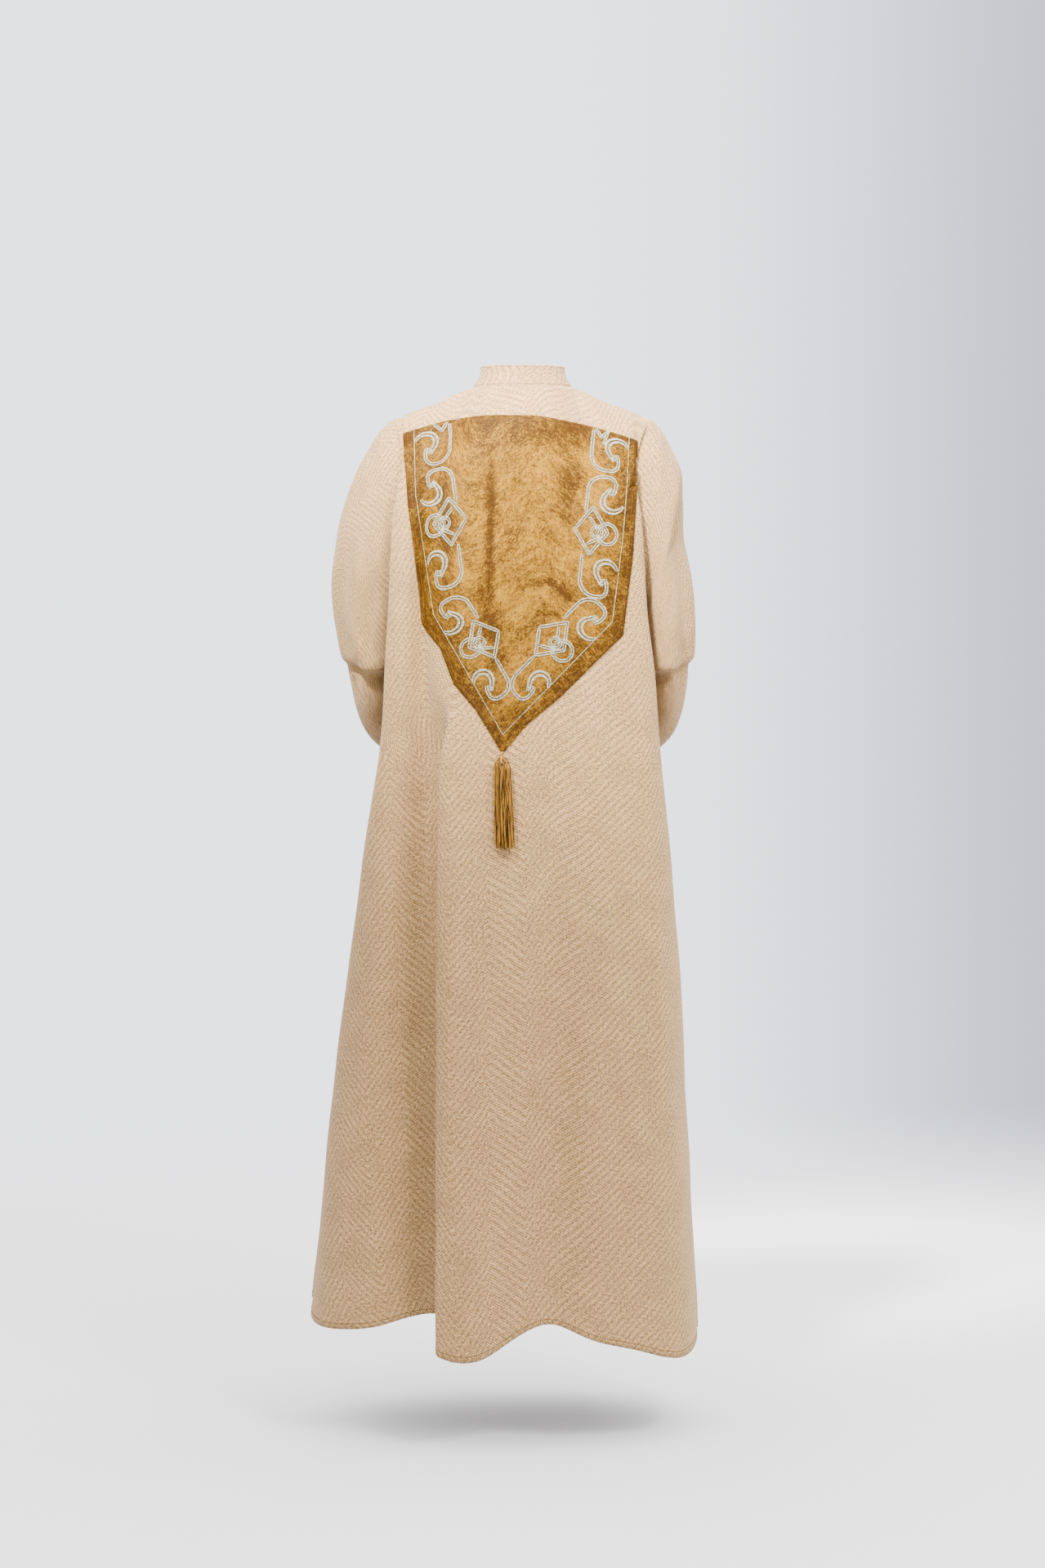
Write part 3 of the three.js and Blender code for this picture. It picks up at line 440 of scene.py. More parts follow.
# Creases of the back: width, depth, then the line's corners from behind as x and z.
BACK_CREASES = [
    (24, -4.0, 160, -380, 158, -540, 160, -740, 166, -1000),
    (11, 3.0, 104, -560, 104, -820, 110, -1200),
    (5, 1.0, 100, -560, 97, -800, 99, -1120),
    (6, -1.1, 84, -620, 80, -900, 78, -1240),
    (5, 0.9, 66, -590, 63, -840, 62, -1010),
    (22, -4.0, -40, -620, -52, -860, -60, -1180),
    (20, 3.0, -100, -520, -118, -760, -128, -1050),
    (14, -3.0, -150, -460, -172, -620, -186, -840),
    (12, 2.2, -168, -560, -190, -760, -206, -1080),
    (16, -2.6, -120, -900, -140, -1100, -156, -1330),
    (11, -2.4, 160, -420, 176, -560, 196, -760),
    (14, 2.6, 196, -640, 214, -860, 238, -1180),
    (13, 2.2, 150, -980, 160, -1160, 172, -1340),
    (16, 1.8, 20, -700, 6, -900, 0, -1100),
    (8, -2.2, 152, -120, 168, -170, 172, -240),
    (8, -2.0, -150, -110, -160, -160, -164, -230),
]
FRONT_CREASES = {
    1: [
        (12, -2.6, 120, -180, 96, -300, 84, -420),
        (10, -2.4, 148, -330, 126, -450, 120, -600),
        (13, 2.2, 60, -430, 56, -620, 62, -840),
        (9, -1.6, 36, -560, 40, -820, 46, -1150),
        (12, -2.6, 170, -520, 182, -700, 200, -960),
        (14, 2.4, 110, -800, 122, -1020, 132, -1300),
    ],
    -1: [
        (11, -2.4, -112, -190, -92, -320, -86, -400),
        (11, -2.8, -142, -340, -128, -470, -116, -640),
        (12, 2.0, -54, -470, -60, -690, -58, -880),
        (10, -1.8, -34, -600, -38, -900, -44, -1200),
        (12, -2.2, -160, -560, -176, -780, -190, -1010),
        (13, 2.6, -100, -860, -116, -1080, -120, -1320),
    ],
}
# Creases of the sleeves: width, depth, then the corners as degrees round the sleeve and rows down it.
SLEEVE_CREASES = {
    1: [
        (0.30, -3.2, 150, 8.4, 110, 9.2, 60, 9.6),
        (0.30, -6.5, 8, 9.3, 60, 9.4, 112, 9.2),
        (0.40, 3.5, 8, 8.3, 60, 8.5, 120, 8.3),
        (0.40, 2.8, 94, 2.4, 116, 4.5, 128, 7.4),
        (0.35, -3.4, 200, 8.9, 250, 9.8, 300, 9.9),
        (0.35, -2.6, 140, 10.6, 100, 11.2, 60, 11.0),
        (0.30, 1.8, 100, 6.6, 130, 7.4, 150, 7.9),
        (0.42, -5.0, 58, 1.6, 78, 4.4, 92, 7.6),
        (0.5, -2.6, 250, 3.4, 230, 5.0, 222, 7.4),
        (0.35, -2.2, 120, 12.4, 90, 13.0, 50, 12.8),
        (0.4, -2.8, 210, 11.4, 250, 12.2, 290, 12.0),
        (0.4, -1.8, 180, 13.4, 140, 14.2, 90, 14.6),
    ],
    -1: [
        (0.30, -3.0, 150, 8.2, 115, 9.0, 70, 9.4),
        (0.30, -6.5, 8, 9.3, 60, 9.4, 112, 9.2),
        (0.40, 3.5, 8, 8.3, 60, 8.5, 120, 8.3),
        (0.35, -3.2, 205, 8.8, 245, 9.6, 295, 9.7),
        (0.35, -2.4, 145, 10.8, 105, 11.3, 70, 11.1),
        (0.30, -5.0, 112, 3.6, 140, 2.9, 178, 2.6),
        (0.4, 1.8, 90, 5.4, 130, 6.4, 165, 6.6),
        (0.5, -2.2, 250, 3.8, 235, 5.6, 225, 7.2),
        (0.35, -2.4, 110, 12.6, 80, 13.2, 50, 13.0),
        (0.4, -2.4, 205, 11.6, 245, 12.3, 285, 12.2),
        (0.4, -2.0, 185, 13.6, 150, 14.3, 100, 14.7),
    ],
}


def pinch(distance, depth=1.3, width=4.0):
    """The dip of cloth towards a seam."""
    return -depth * bell(distance / width)


def seam_share(z):
    """Seams dip fully below the armhole's middle and hardly at the shoulder."""
    return mix(0.12, 1.0, ease((-170 - z) / 130))


SHOULDER_SINK, SHOULDER_REACH = 4.2, 22
CALM_EDGE = 25  # how far from a seam the creases are whole


def eased_shoulder(grid):
    """The cloth sinks a little where the shoulder seam meets the sleeve, so that the line runs round."""
    away = np.hypot(np.abs(grid[..., 0]) - SHOULDER_LINE[-1][0], grid[..., 2] - SHOULDER)
    lower = grid.copy()
    lower[..., 2] -= SHOULDER_SINK * bell(away / SHOULDER_REACH)
    return lower


def dressed_body(grid, creases, seed, pitch, sign, front):
    """A back or front with its creases and slow waves, which fade towards the seams."""
    normals = grid_normals(grid, sign)
    from_start, rise = unrolled(grid)
    from_end, from_top = from_start[:, -1:] - from_start, rise[-1:] - rise
    seen = grid[..., [0, 2]]
    move = sum(crease(seen, *line) for line in creases) + sway(seen, seed, pitch, 0.9)
    nearest = from_end if front else np.minimum(from_start, from_end)
    move = move * ease(np.minimum(nearest, from_top) / CALM_EDGE)
    dip = pinch(from_end) if front else pinch(from_start) + pinch(from_end)
    move += dip * seam_share(grid[..., 2]) + pinch(from_top, 0.5)
    return eased_shoulder(grid + normals * move[..., None])


# ---- sleeves
def share_seams(grid, to_rear, top_columns, side_columns):
    """Two pieces at a side or shoulder seam part by half the gap each."""
    grid = grid.copy()
    for j in side_columns:
        grid[:, j, 1] += to_rear * SEAM_GAP / 2
    grid[-1, top_columns, 1] += to_rear * SEAM_GAP / 2
    return grid


def armhole_loop(back, front, sign):
    """The armhole seam: up the back from the underarm, over the shoulder, down the front."""
    j = -1 if sign > 0 else 0
    rear, fore = back[UNDERARM_ROW:, j], front[UNDERARM_ROW:, -1]
    loop = np.concatenate([rear, fore[-2:0:-1]])
    outward = point(sign, 0, 0) + 0 * loop
    reach = ease((loop[:, 2] - SHOULDER + 40) / 40)[:, None]
    outward = unit(mix(outward, point(sign * 0.35, 0, 1) + 0 * loop, reach))
    onwards = unit(np.cross(np.roll(loop, -1, axis=0) - np.roll(loop, 1, axis=0), outward) * -sign)
    return loop, onwards


def sleeve_ring(row, count, sign):
    out_left, out_right, out_y, out_z, in_x, in_y, in_z, deep, bend = SLEEVE[row]
    outer = np.array([out_left if sign > 0 else -out_right, out_y, out_z])
    inner = np.array([sign * (in_x - (0 if sign > 0 else RIGHT_INWARDS)), in_y, in_z])
    half = (outer - inner) / 2
    level = unit(np.array([-half[1], half[0], 0]) * sign)
    turn = math.radians(bend)
    depth = level * math.cos(turn) + np.array([0, 0, -math.sin(turn)])
    degrees = np.arange(count) * 360 / count
    swell = sum(
        out * bell((degrees - angle) / width) * ease(min(row - first, last - row) / 3)
        for angle, width, out, first, last in SLEEVE_FOLDS
    )
    angle = np.radians(degrees)[:, None]
    swell = np.asarray(swell)[:, None]
    middle = (outer + inner) / 2
    across = -np.cos(angle) * (np.linalg.norm(half) + swell) * unit(half)
    return middle + across + np.sin(angle) * (deep + swell) * depth


def refined(rows, times):
    """Rows of a grid with smooth rows put in between."""
    last = len(rows) - 1
    made = []
    for i in range(last):
        before, a, b, after = (rows[min(max(k, 0), last)] for k in range(i - 1, i + 3))
        made += [curve(a, b, (b - before) / 2, (after - a) / 2, k / times) for k in range(times)]
    return np.array([*made, rows[-1]])


ROWS_PER_SECTION = 6
DEGREES_A_ROW = 40  # degrees round a sleeve that count as much as a row down it


def sleeve_grid(back, front, sign):
    loop, onwards = armhole_loop(back, front, sign)
    rings = [sleeve_ring(row, len(loop), sign) for row in range(len(SLEEVE))]
    start = [loop + onwards * SEAM_GAP, loop + onwards * RUN_ON]
    grid = refined([*start, *rings], ROWS_PER_SECTION)
    normals = grid_normals(grid, sign, True)
    count = len(loop)
    degrees = np.arange(count) * 360 / count + np.zeros((len(grid), 1))
    row = np.arange(len(grid))[:, None] / ROWS_PER_SECTION - 2 + np.zeros((1, count))
    seen = np.stack([degrees / DEGREES_A_ROW, row], axis=-1)
    move = sum(crease(seen, *line, pitch=DEGREES_A_ROW) for line in SLEEVE_CREASES[sign])
    down = unrolled(grid)[1]
    wave = np.stack([np.cos(np.radians(degrees)) * 90 + down * 0.3, down], axis=-1)
    move = (move + sway(wave, 11 + sign, 120, 0.8)) * ease(down / CALM_EDGE)
    puckers = np.random.default_rng(30 + sign).uniform(-0.5, 0.5, count)
    move += (pinch(down) + puckers * bell((down - 8) / 6)) * seam_share(loop[:, 2])
    return eased_shoulder(grid + normals * move[..., None]), down


def collar_grid(back, left, right):
    neck_front = int(np.sum(FRONT_COLUMNS < NECK_SHARE - 1e-6))
    neck_back = np.abs(BACK_COLUMNS) <= NECK_SHARE + 1e-6
    edge = np.concatenate([left[-1, :neck_front], back[-1, neck_back][::-1], right[-1, :neck_front][::-1]])
    under = np.concatenate([left[-2, :neck_front], back[-2, neck_back][::-1], right[-2, :neck_front][::-1]])
    foot = edge + unit(edge - under) * SEAM_GAP
    inwards = unit(point(-edge[:, 0], NECK_Y - edge[:, 1], 0))
    rise = np.linspace(0, 1, 15)
    lean = smooth(np.array([0, 0.2, 0.6, 1.0]), np.array([0, 0.36, 0.8, 1.0]), rise)
    up = np.array([0, 0, COLLAR_HEIGHT])
    grid = foot + lean[:, None, None] * COLLAR_LEAN * inwards + rise[:, None, None] * up
    run = np.r_[0, np.cumsum(np.linalg.norm(np.diff(edge, axis=0), axis=1))]
    move = sway(np.stack(np.broadcast_arrays(run[None, :], rise[:, None] * 30), axis=-1), 21, 60, 0.5)
    normals = grid_normals(grid, 1)
    return grid + normals * (move * np.sin(math.pi * rise)[:, None])[..., None]


# ---- meshes
def grid_faces(rows, columns, round_it, flip):
    i, j = np.meshgrid(np.arange(rows - 1), np.arange(columns if round_it else columns - 1), indexing="ij")
    a = i * columns + j
    b = i * columns + (j + 1) % columns
    quads = np.stack([a, b, b + columns, a + columns], axis=-1).reshape(-1, 4)
    return quads[:, ::-1] if flip else quads


def shaped(name, places, faces, material):
    """A smooth mesh in the scene."""
    mesh = bpy.data.meshes.new(name)
    mesh.from_pydata((np.asarray(places) * MM).tolist(), [], faces)
    mesh.polygons.foreach_set("use_smooth", [True] * len(faces))
    mesh.materials.append(material)
    mesh.update()
    return placed(name, mesh)


def mark(mesh, label, values, kind="FLOAT", field="value"):
    """Keeps a value for each point of a mesh."""
    layer = mesh.attributes.new(label, kind, "POINT")
    layer.data.foreach_set(field, np.asarray(values, np.float32).ravel())


def cloth_piece(name, grid, run, rise, material, flip, wall=CLOTH, round_it=False):
    """A grid of cloth as a mesh with its unrolled sizes as UVs in metres, and a wall inwards."""
    quads = grid_faces(*grid.shape[:2], round_it, flip)
    made = shaped(name, grid.reshape(-1, 3), quads.tolist(), material)
    flat = np.stack([run, rise], axis=-1).reshape(-1, 2) * MM
    uv = flat[quads.ravel()].reshape(-1, 4, 2)
    if round_it:
        columns = grid.shape[1]
        girth = np.max(run) * MM
        jump = uv[..., 0].max(axis=1, keepdims=True) - uv[..., 0] > girth / 2
        uv[..., 0] += jump * girth * columns / (columns - 1)
    layer = made.data.uv_layers.new(name="cloth")
    layer.data.foreach_set("uv", uv.astype(np.float32).ravel())
    shell = made.modifiers.new("wall", "SOLIDIFY")
    shell.thickness, shell.offset = wall * MM, -1
    shell.use_even_offset = False
    return made


def unrolled(grid, middle=0):
    """How far across and how far up each place of a grid lies once the cloth is laid flat."""
    across, up = (np.linalg.norm(np.diff(grid, axis=axis), axis=-1) for axis in (1, 0))
    run = np.c_[np.zeros(len(grid)), np.cumsum(across, axis=1)]
    rise = np.r_[np.zeros((1, grid.shape[1])), np.cumsum(up, axis=0)]
    return run - run[:, middle : middle + 1], rise


FAR_BEHIND, NEAR_BACK = 1000, 120  # where a ray starts, and where a missed one looks for cloth


class Lay:
    """The outer face of a grid of cloth, to find a place on it from behind."""

    def __init__(self, grid, normals, run, rise):
        quads = grid_faces(*grid.shape[:2], False, False)
        self.faces = np.concatenate([quads[:, [0, 1, 2]], quads[:, [0, 2, 3]]]).tolist()
        flat = np.stack([run, rise, 0 * run], axis=-1)
        self.kept = [[Vector(p) for p in values.reshape(-1, 3)] for values in (grid, normals, flat)]
        self.tree = BVHTree.FromPolygons(self.kept[0], self.faces)

    def from_behind(self, x, z):
        """The place, the way outwards and the unrolled place."""
        hit, _, face, _ = self.tree.ray_cast(Vector((x, FAR_BEHIND, z)), Vector((0, -1, 0)))
        if hit is None:
            hit, _, face, _ = self.tree.find_nearest(Vector((x, NEAR_BACK, z)))
        a, b, c = self.faces[face]
        corners = [self.kept[0][k] for k in (a, b, c)]
        return [barycentric_transform(hit, *corners, kept[a], kept[b], kept[c]) for kept in self.kept]


# ---- nodes and materials
class Value:
    """A socket that takes part in sums: each operator adds its Math node."""

    def __init__(self, nodes, socket):
        self.nodes, self.socket = nodes, socket

    def math(self, operation, *others):
        return self.nodes.add("ShaderNodeMath", (self, *others), operation=operation)

    def __add__(self, other):
        return self.math("ADD", other)

    def __sub__(self, other):
        return self.math("SUBTRACT", other)

    def __rsub__(self, other):
        return (self * -1) + other

    def __mul__(self, other):
        return self.math("MULTIPLY", other)

    __radd__, __rmul__ = __add__, __mul__

    def sin(self):
        return self.math("SINE")

    def between(self, low, high):
        """0 at low and 1 at high, with a soft rise."""
        sockets = {"Value": self, "From Min": low, "From Max": high}
        return self.nodes.add("ShaderNodeMapRange", sockets, interpolation_type="SMOOTHSTEP")


class Nodes:
    """A node tree, whose nodes go in by type, sockets and settings."""

    def __init__(self, tree):
        self.tree = tree

    def add(self, kind, sockets=(), output=0, **settings):
        node = self.tree.nodes.new(kind)
        for key, value in settings.items():
            setattr(node, key, value)
        for key, value in sockets.items() if isinstance(sockets, dict) else enumerate(sockets):
            if isinstance(value, Value):
                self.tree.links.new(value.socket, node.inputs[key])
            else:
                node.inputs[key].default_value = value
        return Value(self, node.outputs[output])

    def blend(self, factor, first, second):
        first, second = ((*c, 1) if isinstance(c, tuple) else c for c in (first, second))
        return self.add("ShaderNodeMix", {0: factor, 6: first, 7: second}, 2, data_type="RGBA")

    def parts(self, vector):
        split = self.add("ShaderNodeSeparateXYZ", (vector,))
        return [Value(self, socket) for socket in split.socket.node.outputs]


class Recipe(Nodes):
    """A material."""

    def __init__(self, name):
        self.material = bpy.data.materials.new(name)
        self.material.use_nodes = True
        super().__init__(self.material.node_tree)
        self.tree.nodes.clear()

    def noise(self, vector, scale, detail=2.0, roughness=0.5):
        sockets = {"Vector": vector, "Scale": scale, "Detail": detail, "Roughness": roughness}
        return self.add("ShaderNodeTexNoise", sockets)

    def bump(self, height, distance, strength):
        sockets = {"Height": height, "Distance": distance, "Strength": strength}
        return self.add("ShaderNodeBump", sockets)

    def finish(self, **sockets):
        names = {key.replace("_", " ").title().replace("Ior", "IOR"): value for key, value in sockets.items()}
        shader = self.add("ShaderNodeBsdfPrincipled", names)
        end = self.tree.nodes.new("ShaderNodeOutputMaterial")
        self.tree.links.new(shader.socket, end.inputs["Surface"])
        return self.material


def woven_cream():
    """Heavy cream cloth: small crossed cells, soft slanting bands and fine brown flecks."""
    r = Recipe("woven_cream")
    uv = r.add("ShaderNodeUVMap", uv_map="cloth")
    u, v, _ = r.parts(uv)
    cell, band, steepness = 0.0038, 0.0128, 1.25
    yarn = ((u + v) * (math.tau / cell)).sin() * 0.5 + ((u - v) * (math.tau / cell)).sin() * 0.5
    drift = r.noise(uv, 9.0, 2.0)
    zig = u.math("PINGPONG", 0.055)
    beyond = u.between(-0.03, -0.05)
    slope = (beyond * (u * -1.0)) + ((1 - beyond) * zig)
    bands = ((v - slope * steepness + drift * 0.014) * (math.tau / band)).sin()
    near = r.noise(uv, 330.0, 3.0, 0.7)
    patch = r.noise(uv, 26.0, 3.0)
    fleck = r.noise(uv, 760.0, 2.0, 0.6).between(0.6, 0.72)
    tone = near * 1.25 + yarn * 0.16 + bands * (patch * 0.12) + patch * 0.16 - 0.195
    colour = r.blend(tone.between(0.26, 0.84), (0.102, 0.054, 0.019), (0.405, 0.250, 0.108))
    colour = r.blend(fleck * 0.45, colour, (0.11, 0.058, 0.022))
    height = yarn * 0.35 + bands * (patch * 0.26) + near * 0.9
    return r.finish(
        base_color=colour,
        roughness=patch * 0.12 + 0.80,
        normal=r.bump(height, 0.0009, 0.6),
        sheen_weight=0.12,
        sheen_roughness=0.5,
        sheen_tint=(1.0, 0.88, 0.70, 1.0),
        specular_ior_level=0.15,
    )


def velvet_bronze():
    """Crushed bronze velvet: a grainy gold pile, with painted shade along its creases and towards its edges.
    """
    r = Recipe("velvet_bronze")
    uv = r.add("ShaderNodeUVMap", uv_map="cloth")
    crease_shade, rim_shade = (r.add("ShaderNodeAttribute", output=2, attribute_name=name) for name in ("painted_crease_shade", "rim_shade"))
    grain = r.noise(uv, 340.0, 3.0, 0.75)
    blotch = r.noise(uv, 120.0, 4.0, 0.75)
    cloud = r.noise(uv, 24.0, 3.0, 0.6)
    # Painted shade: the pile is darkened along the panel's creases and towards its outline.
    pile = grain * 0.55 + blotch * 0.42 + cloud * 0.30 - crease_shade * 0.13 - rim_shade * 0.09 - 0.06
    colour = r.blend(pile.between(0.44, 0.72), (0.026, 0.0100, 0.0010), (0.182, 0.086, 0.0056))
    speck = r.noise(uv, 200.0, 3.0, 0.8).between(0.58, 0.68)
    colour = r.blend(speck * 0.6, colour, (0.022, 0.008, 0.001))
    return r.finish(
        base_color=colour,
        roughness=grain * 0.25 + 0.48,
        normal=r.bump(grain * 0.4 + blotch * 0.6, 0.0006, 0.2),
        sheen_weight=0.05,
        sheen_roughness=0.4,
        sheen_tint=(1.0, 0.55, 0.10, 1.0),
        specular_ior_level=0.03,
    )


# Threads: dark colour (partly painted shade) and light colour (partly painted highlight), roughness, metal,
# streaks a metre, sheen, shine.
THREADS = {
    "thread_silver": ((0.08, 0.072, 0.04), (0.31, 0.29, 0.205), 0.4, 0.0, (500, 500, 500), 0.05, 0.25),
    "thread_gold": ((0.006, 0.0018, 0.0001), (0.25, 0.115, 0.014), 0.42, 0.1, (420, 420, 18), 0.0, 0.12),
    "thread_brown": ((0.05, 0.022, 0.006), (0.12, 0.06, 0.02), 0.7, 0.0, (700, 700, 700), 0.0, 0.05),
}


def thread(name, dark, light, roughness, metal, scale, sheen, shine):
    """Twisted thread: streaks that follow its length, in two tones that mix its own colour with painted shade
    and painted highlight.
    """
    r = Recipe(name)
    place = r.add("ShaderNodeTexCoord", output=3)
    stretched = [part * across for part, across in zip(r.parts(place), scale)]
    # The streaks blend the thread's own tone with painted shade in its gaps and painted highlight on its
    # strands.
    streak_and_painted_light = r.noise(r.add("ShaderNodeCombineXYZ", stretched), 1.0, 3.0, 0.6)
    twist = r.noise(place, 900.0, 2.0)
    return r.finish(
        base_color=r.blend((streak_and_painted_light * 0.8 + twist * 0.3).between(0.42, 0.68), dark, light),
        roughness=twist * 0.2 + roughness,
        normal=r.bump(twist, 0.0003, 0.5),
        metallic=metal,
        specular_ior_level=shine,
        sheen_weight=sheen,
        sheen_roughness=0.4,
    )


# ---- threads and stitches
class Tree(Nodes):
    """A geometry tree with named inputs, which works along the lines that it is given."""

    def __init__(self, name, **inputs):
        super().__init__(bpy.data.node_groups.new(name, "GeometryNodeTree"))
        face = self.tree.interface
        for label, kind in {"Geometry": "Geometry", **inputs}.items():
            face.new_socket(label, in_out="INPUT", socket_type=f"NodeSocket{kind}")
        face.new_socket("Geometry", in_out="OUTPUT", socket_type="NodeSocketGeometry")
        self.start = self.tree.nodes.new("NodeGroupInput")
        self.lines = self.add("GeometryNodeMeshToCurve", {"Mesh": self.taken("Geometry")})

    def taken(self, label):
        return Value(self, self.start.outputs[label])

    def close(self, geometry):
        solid = self.add("GeometryNodeRealizeInstances", {"Geometry": geometry})
        soft = self.add("GeometryNodeSetShadeSmooth", {"Geometry": solid})
        end = self.tree.nodes.new("NodeGroupOutput")
        self.tree.links.new(soft.socket, end.inputs["Geometry"])
        return self.tree


def stitch_tree():
    """Lays stitches along lines: each stands on the cloth and lies along or across its line."""
    sizes = dict.fromkeys(("Spacing", "Along", "Across", "Height", "Unevenness"), "Float")
    t = Tree("rows_of_stitches", **sizes, Seed="Int")
    spacing = {"Curve": t.lines, "Length": t.taken("Spacing")}
    spaced = t.add("GeometryNodeResampleCurve", spacing, mode="LENGTH")
    outward, broad = (
        t.add("GeometryNodeInputNamedAttribute", {"Name": name}, "Attribute", data_type=kind)
        for name, kind in (("outward", "FLOAT_VECTOR"), ("broad", "FLOAT"))
    )
    axes = (outward, t.add("GeometryNodeInputTangent"))
    turn = t.add("FunctionNodeAxesToRotation", axes, primary_axis="Z", secondary_axis="X")
    chances = {"Min": 1.0 - t.taken("Unevenness"), "Max": 1.0, "Seed": t.taken("Seed")}
    wide = t.taken("Across") * t.add("FunctionNodeRandomValue", chances, 1, data_type="FLOAT") * broad
    size = t.add("ShaderNodeCombineXYZ", (t.taken("Along"), wide, t.taken("Height")))
    bead = t.add("GeometryNodeMeshUVSphere", {"Segments": 6, "Rings": 4, "Radius": 0.5})
    rows = {"Points": spaced, "Instance": bead, "Rotation": turn, "Scale": size}
    return t.close(t.add("GeometryNodeInstanceOnPoints", rows))


def thread_tree():
    """Runs a thread of a few sides along lines."""
    t = Tree("threads", Thickness="Float", Sides="Int")
    circle = {"Resolution": t.taken("Sides"), "Radius": t.taken("Thickness") * 0.5}
    ring = t.add("GeometryNodeCurvePrimitiveCircle", circle)
    tube = {"Curve": t.lines, "Profile Curve": ring, "Fill Caps": True}
    return t.close(t.add("GeometryNodeCurveToMesh", tube))


def grown(name, tree, lines, material, **values):
    """Runs a tree on some lines, each a list of (place, outward, breadth), and keeps a plain mesh."""
    places, outward, broad = zip(*(spot for line in lines for spot in line))
    last = set(np.cumsum([len(line) for line in lines]) - 1)
    edges = [(k, k + 1) for k in range(len(places)) if k not in last]
    mesh = bpy.data.meshes.new(name + "_lines")
    mesh.from_pydata([[c * MM for c in place] for place in places], edges, [])
    mark(mesh, "outward", [tuple(normal) for normal in outward], "FLOAT_VECTOR", "vector")
    mark(mesh, "broad", broad)
    carrier = placed(name + "_lines", mesh)
    modifier = carrier.modifiers.new("grow", "NODES")
    modifier.node_group = tree
    for item in tree.interface.items_tree:
        if item.in_out == "INPUT" and item.name in values:
            modifier[item.identifier] = values[item.name]
    evaluated = carrier.evaluated_get(bpy.context.evaluated_depsgraph_get())
    plain = bpy.data.meshes.new_from_object(evaluated)
    plain.name = name
    plain.materials.clear()
    plain.materials.append(material)
    bpy.data.objects.remove(carrier)
    return placed(name, plain)


def line_on(places, normals, lift):
    return [(p + n * lift, n, 1.0) for p, n in zip(places, normals)]


# ---- velvet panel
PANEL_ROWS, PANEL_COLUMNS = 150, 108
# Creases of the velvet: width, depth, then the line's corners from behind.
VELVET_CREASES = [
    (6, -3.2, 46, -118, 44, -180, 48, -250, 46, -322),
    (5, -2.6, -4, -302, -40, -296, -62, -318, -86, -330),
    (4, -1.5, -18, -344, -40, -342, -66, -346),
    (2.2, -1.8, 84, -218, 76, -214, 66, -208),
    (16, 2.2, 10, -120, -10, -190, -14, -262),
    (14, -1.4, -60, -110, -64, -170, -58, -240),
    (12, -2.0, 60, -300, 40, -380, 34, -440),
    (12, 1.6, -30, -380, -6, -420, 14, -470),
    (10, -2.2, 116, -120, 108, -200, 104, -290),
    (9, 1.4, -116, -160, -112, -230),
    (4, -1.2, 30, -360, 10, -366, -10, -360),
]


OUTLINE = np.asarray([*PANEL_TOP, *PANEL_RIGHT[1:], *PANEL_LEFT[-2::-1]], float)
TOPSTITCH_IN = 6.0  # how far the panel's topstitching lies inside its edge
PANEL_LIFT, DEEPEST = 0.5, 0.8  # room under the velvet, and how far a crease of it goes in
SOFT_EDGE, RIM_SHADE_WIDTH = 30, 60  # widths of the calm edge and of the edge with painted shade


def panel_grid(cloth):
    """Rows of the panel from its top edge to its point, laid on the back's cloth."""
    down, across = np.linspace(0, 1, PANEL_ROWS), np.linspace(0, 1, PANEL_COLUMNS)
    left, right, top = (np.asarray(line, float) for line in (PANEL_LEFT, PANEL_RIGHT, PANEL_TOP))
    sides = []
    for line in (left, right):
        z = mix(line[0, 1], line[-1, 1], down)
        sides.append(np.stack([np.interp(-z, -line[:, 1], line[:, 0]), z], axis=-1))
    x = mix(top[0, 0], top[-1, 0], across)
    edge = np.stack([x, np.interp(-x, -top[:, 0], top[:, 1])], axis=-1)
    flat = mix(sides[0][:, None], sides[1][:, None], across[None, :, None])
    flat = flat + (edge - flat[0])[None] * ((1 - down) ** 3)[:, None, None]
    found = np.array([[cloth.from_behind(*spot) for spot in row] for row in flat])
    places, normals, sheet = np.moveaxis(found, 2, 0)
    return flat, places, unit(normals), sheet[..., 0], sheet[..., 1]


def outline_distance(seen):
    """How far each place lies from the panel's outline."""
    return np.min([from_segment(seen, a, b)[0] for a, b in zip(OUTLINE[:-1], OUTLINE[1:])], axis=0)


def velvet_panel(cloth, material):
    seen, places, normals, run, rise = panel_grid(cloth)
    inside = outline_distance(seen)
    lines = sum(crease(seen, *line) for line in VELVET_CREASES)
    puff = 1.1 * ease(inside / 3.5) - 0.9 * bell((inside - TOPSTITCH_IN) / 1.8)
    waves = np.maximum(lines, -DEEPEST) + DEEPEST + sway(seen, 5, 46, 0.45)
    move = PANEL_LIFT + VELVET + puff * 0.6 + waves * ease(inside / SOFT_EDGE)
    grid = places + normals * move[..., None]
    made = cloth_piece("velvet_panel", grid, run, rise, material, flip=True, wall=VELVET)
    # Painted shade: the velvet is darkened where its creases run in.
    mark(made.data, "painted_crease_shade", np.clip(-lines / 2.6, 0, 1))
    # Painted shade: the velvet darkens towards the panel's outline.
    mark(made.data, "rim_shade", 1 - ease(inside / RIM_SHADE_WIDTH))
    return made, Lay(grid, normals, run, rise)


# ---- embroidery
# The border's motifs lie on a band: u runs inwards from the thin silver line, v runs down along it.
BAND = 53.0  # how far in the long strokes of the scrolls lie
STEM_RADIUS = 22.0  # bend of a scroll's long stroke
HOOK_RADIUS = 11.0  # bend of its hook
CURL_RADIUS = 17.0  # bend of the short stroke, which closes in to CURL_END
CURL_END = 13.0


def arc(centre, start, end, radius, last=None, steps=26):
    """An arc between two angles in degrees, whose radius may change on its second half."""
    t = np.linspace(0, 1, steps)
    angle = np.radians(mix(start, end, t))
    size = radius + ((last or radius) - radius) * ease(t * 2 - 1)
    return [(centre[0] + r * math.cos(a), centre[1] + r * math.sin(a)) for a, r in zip(angle, size)]


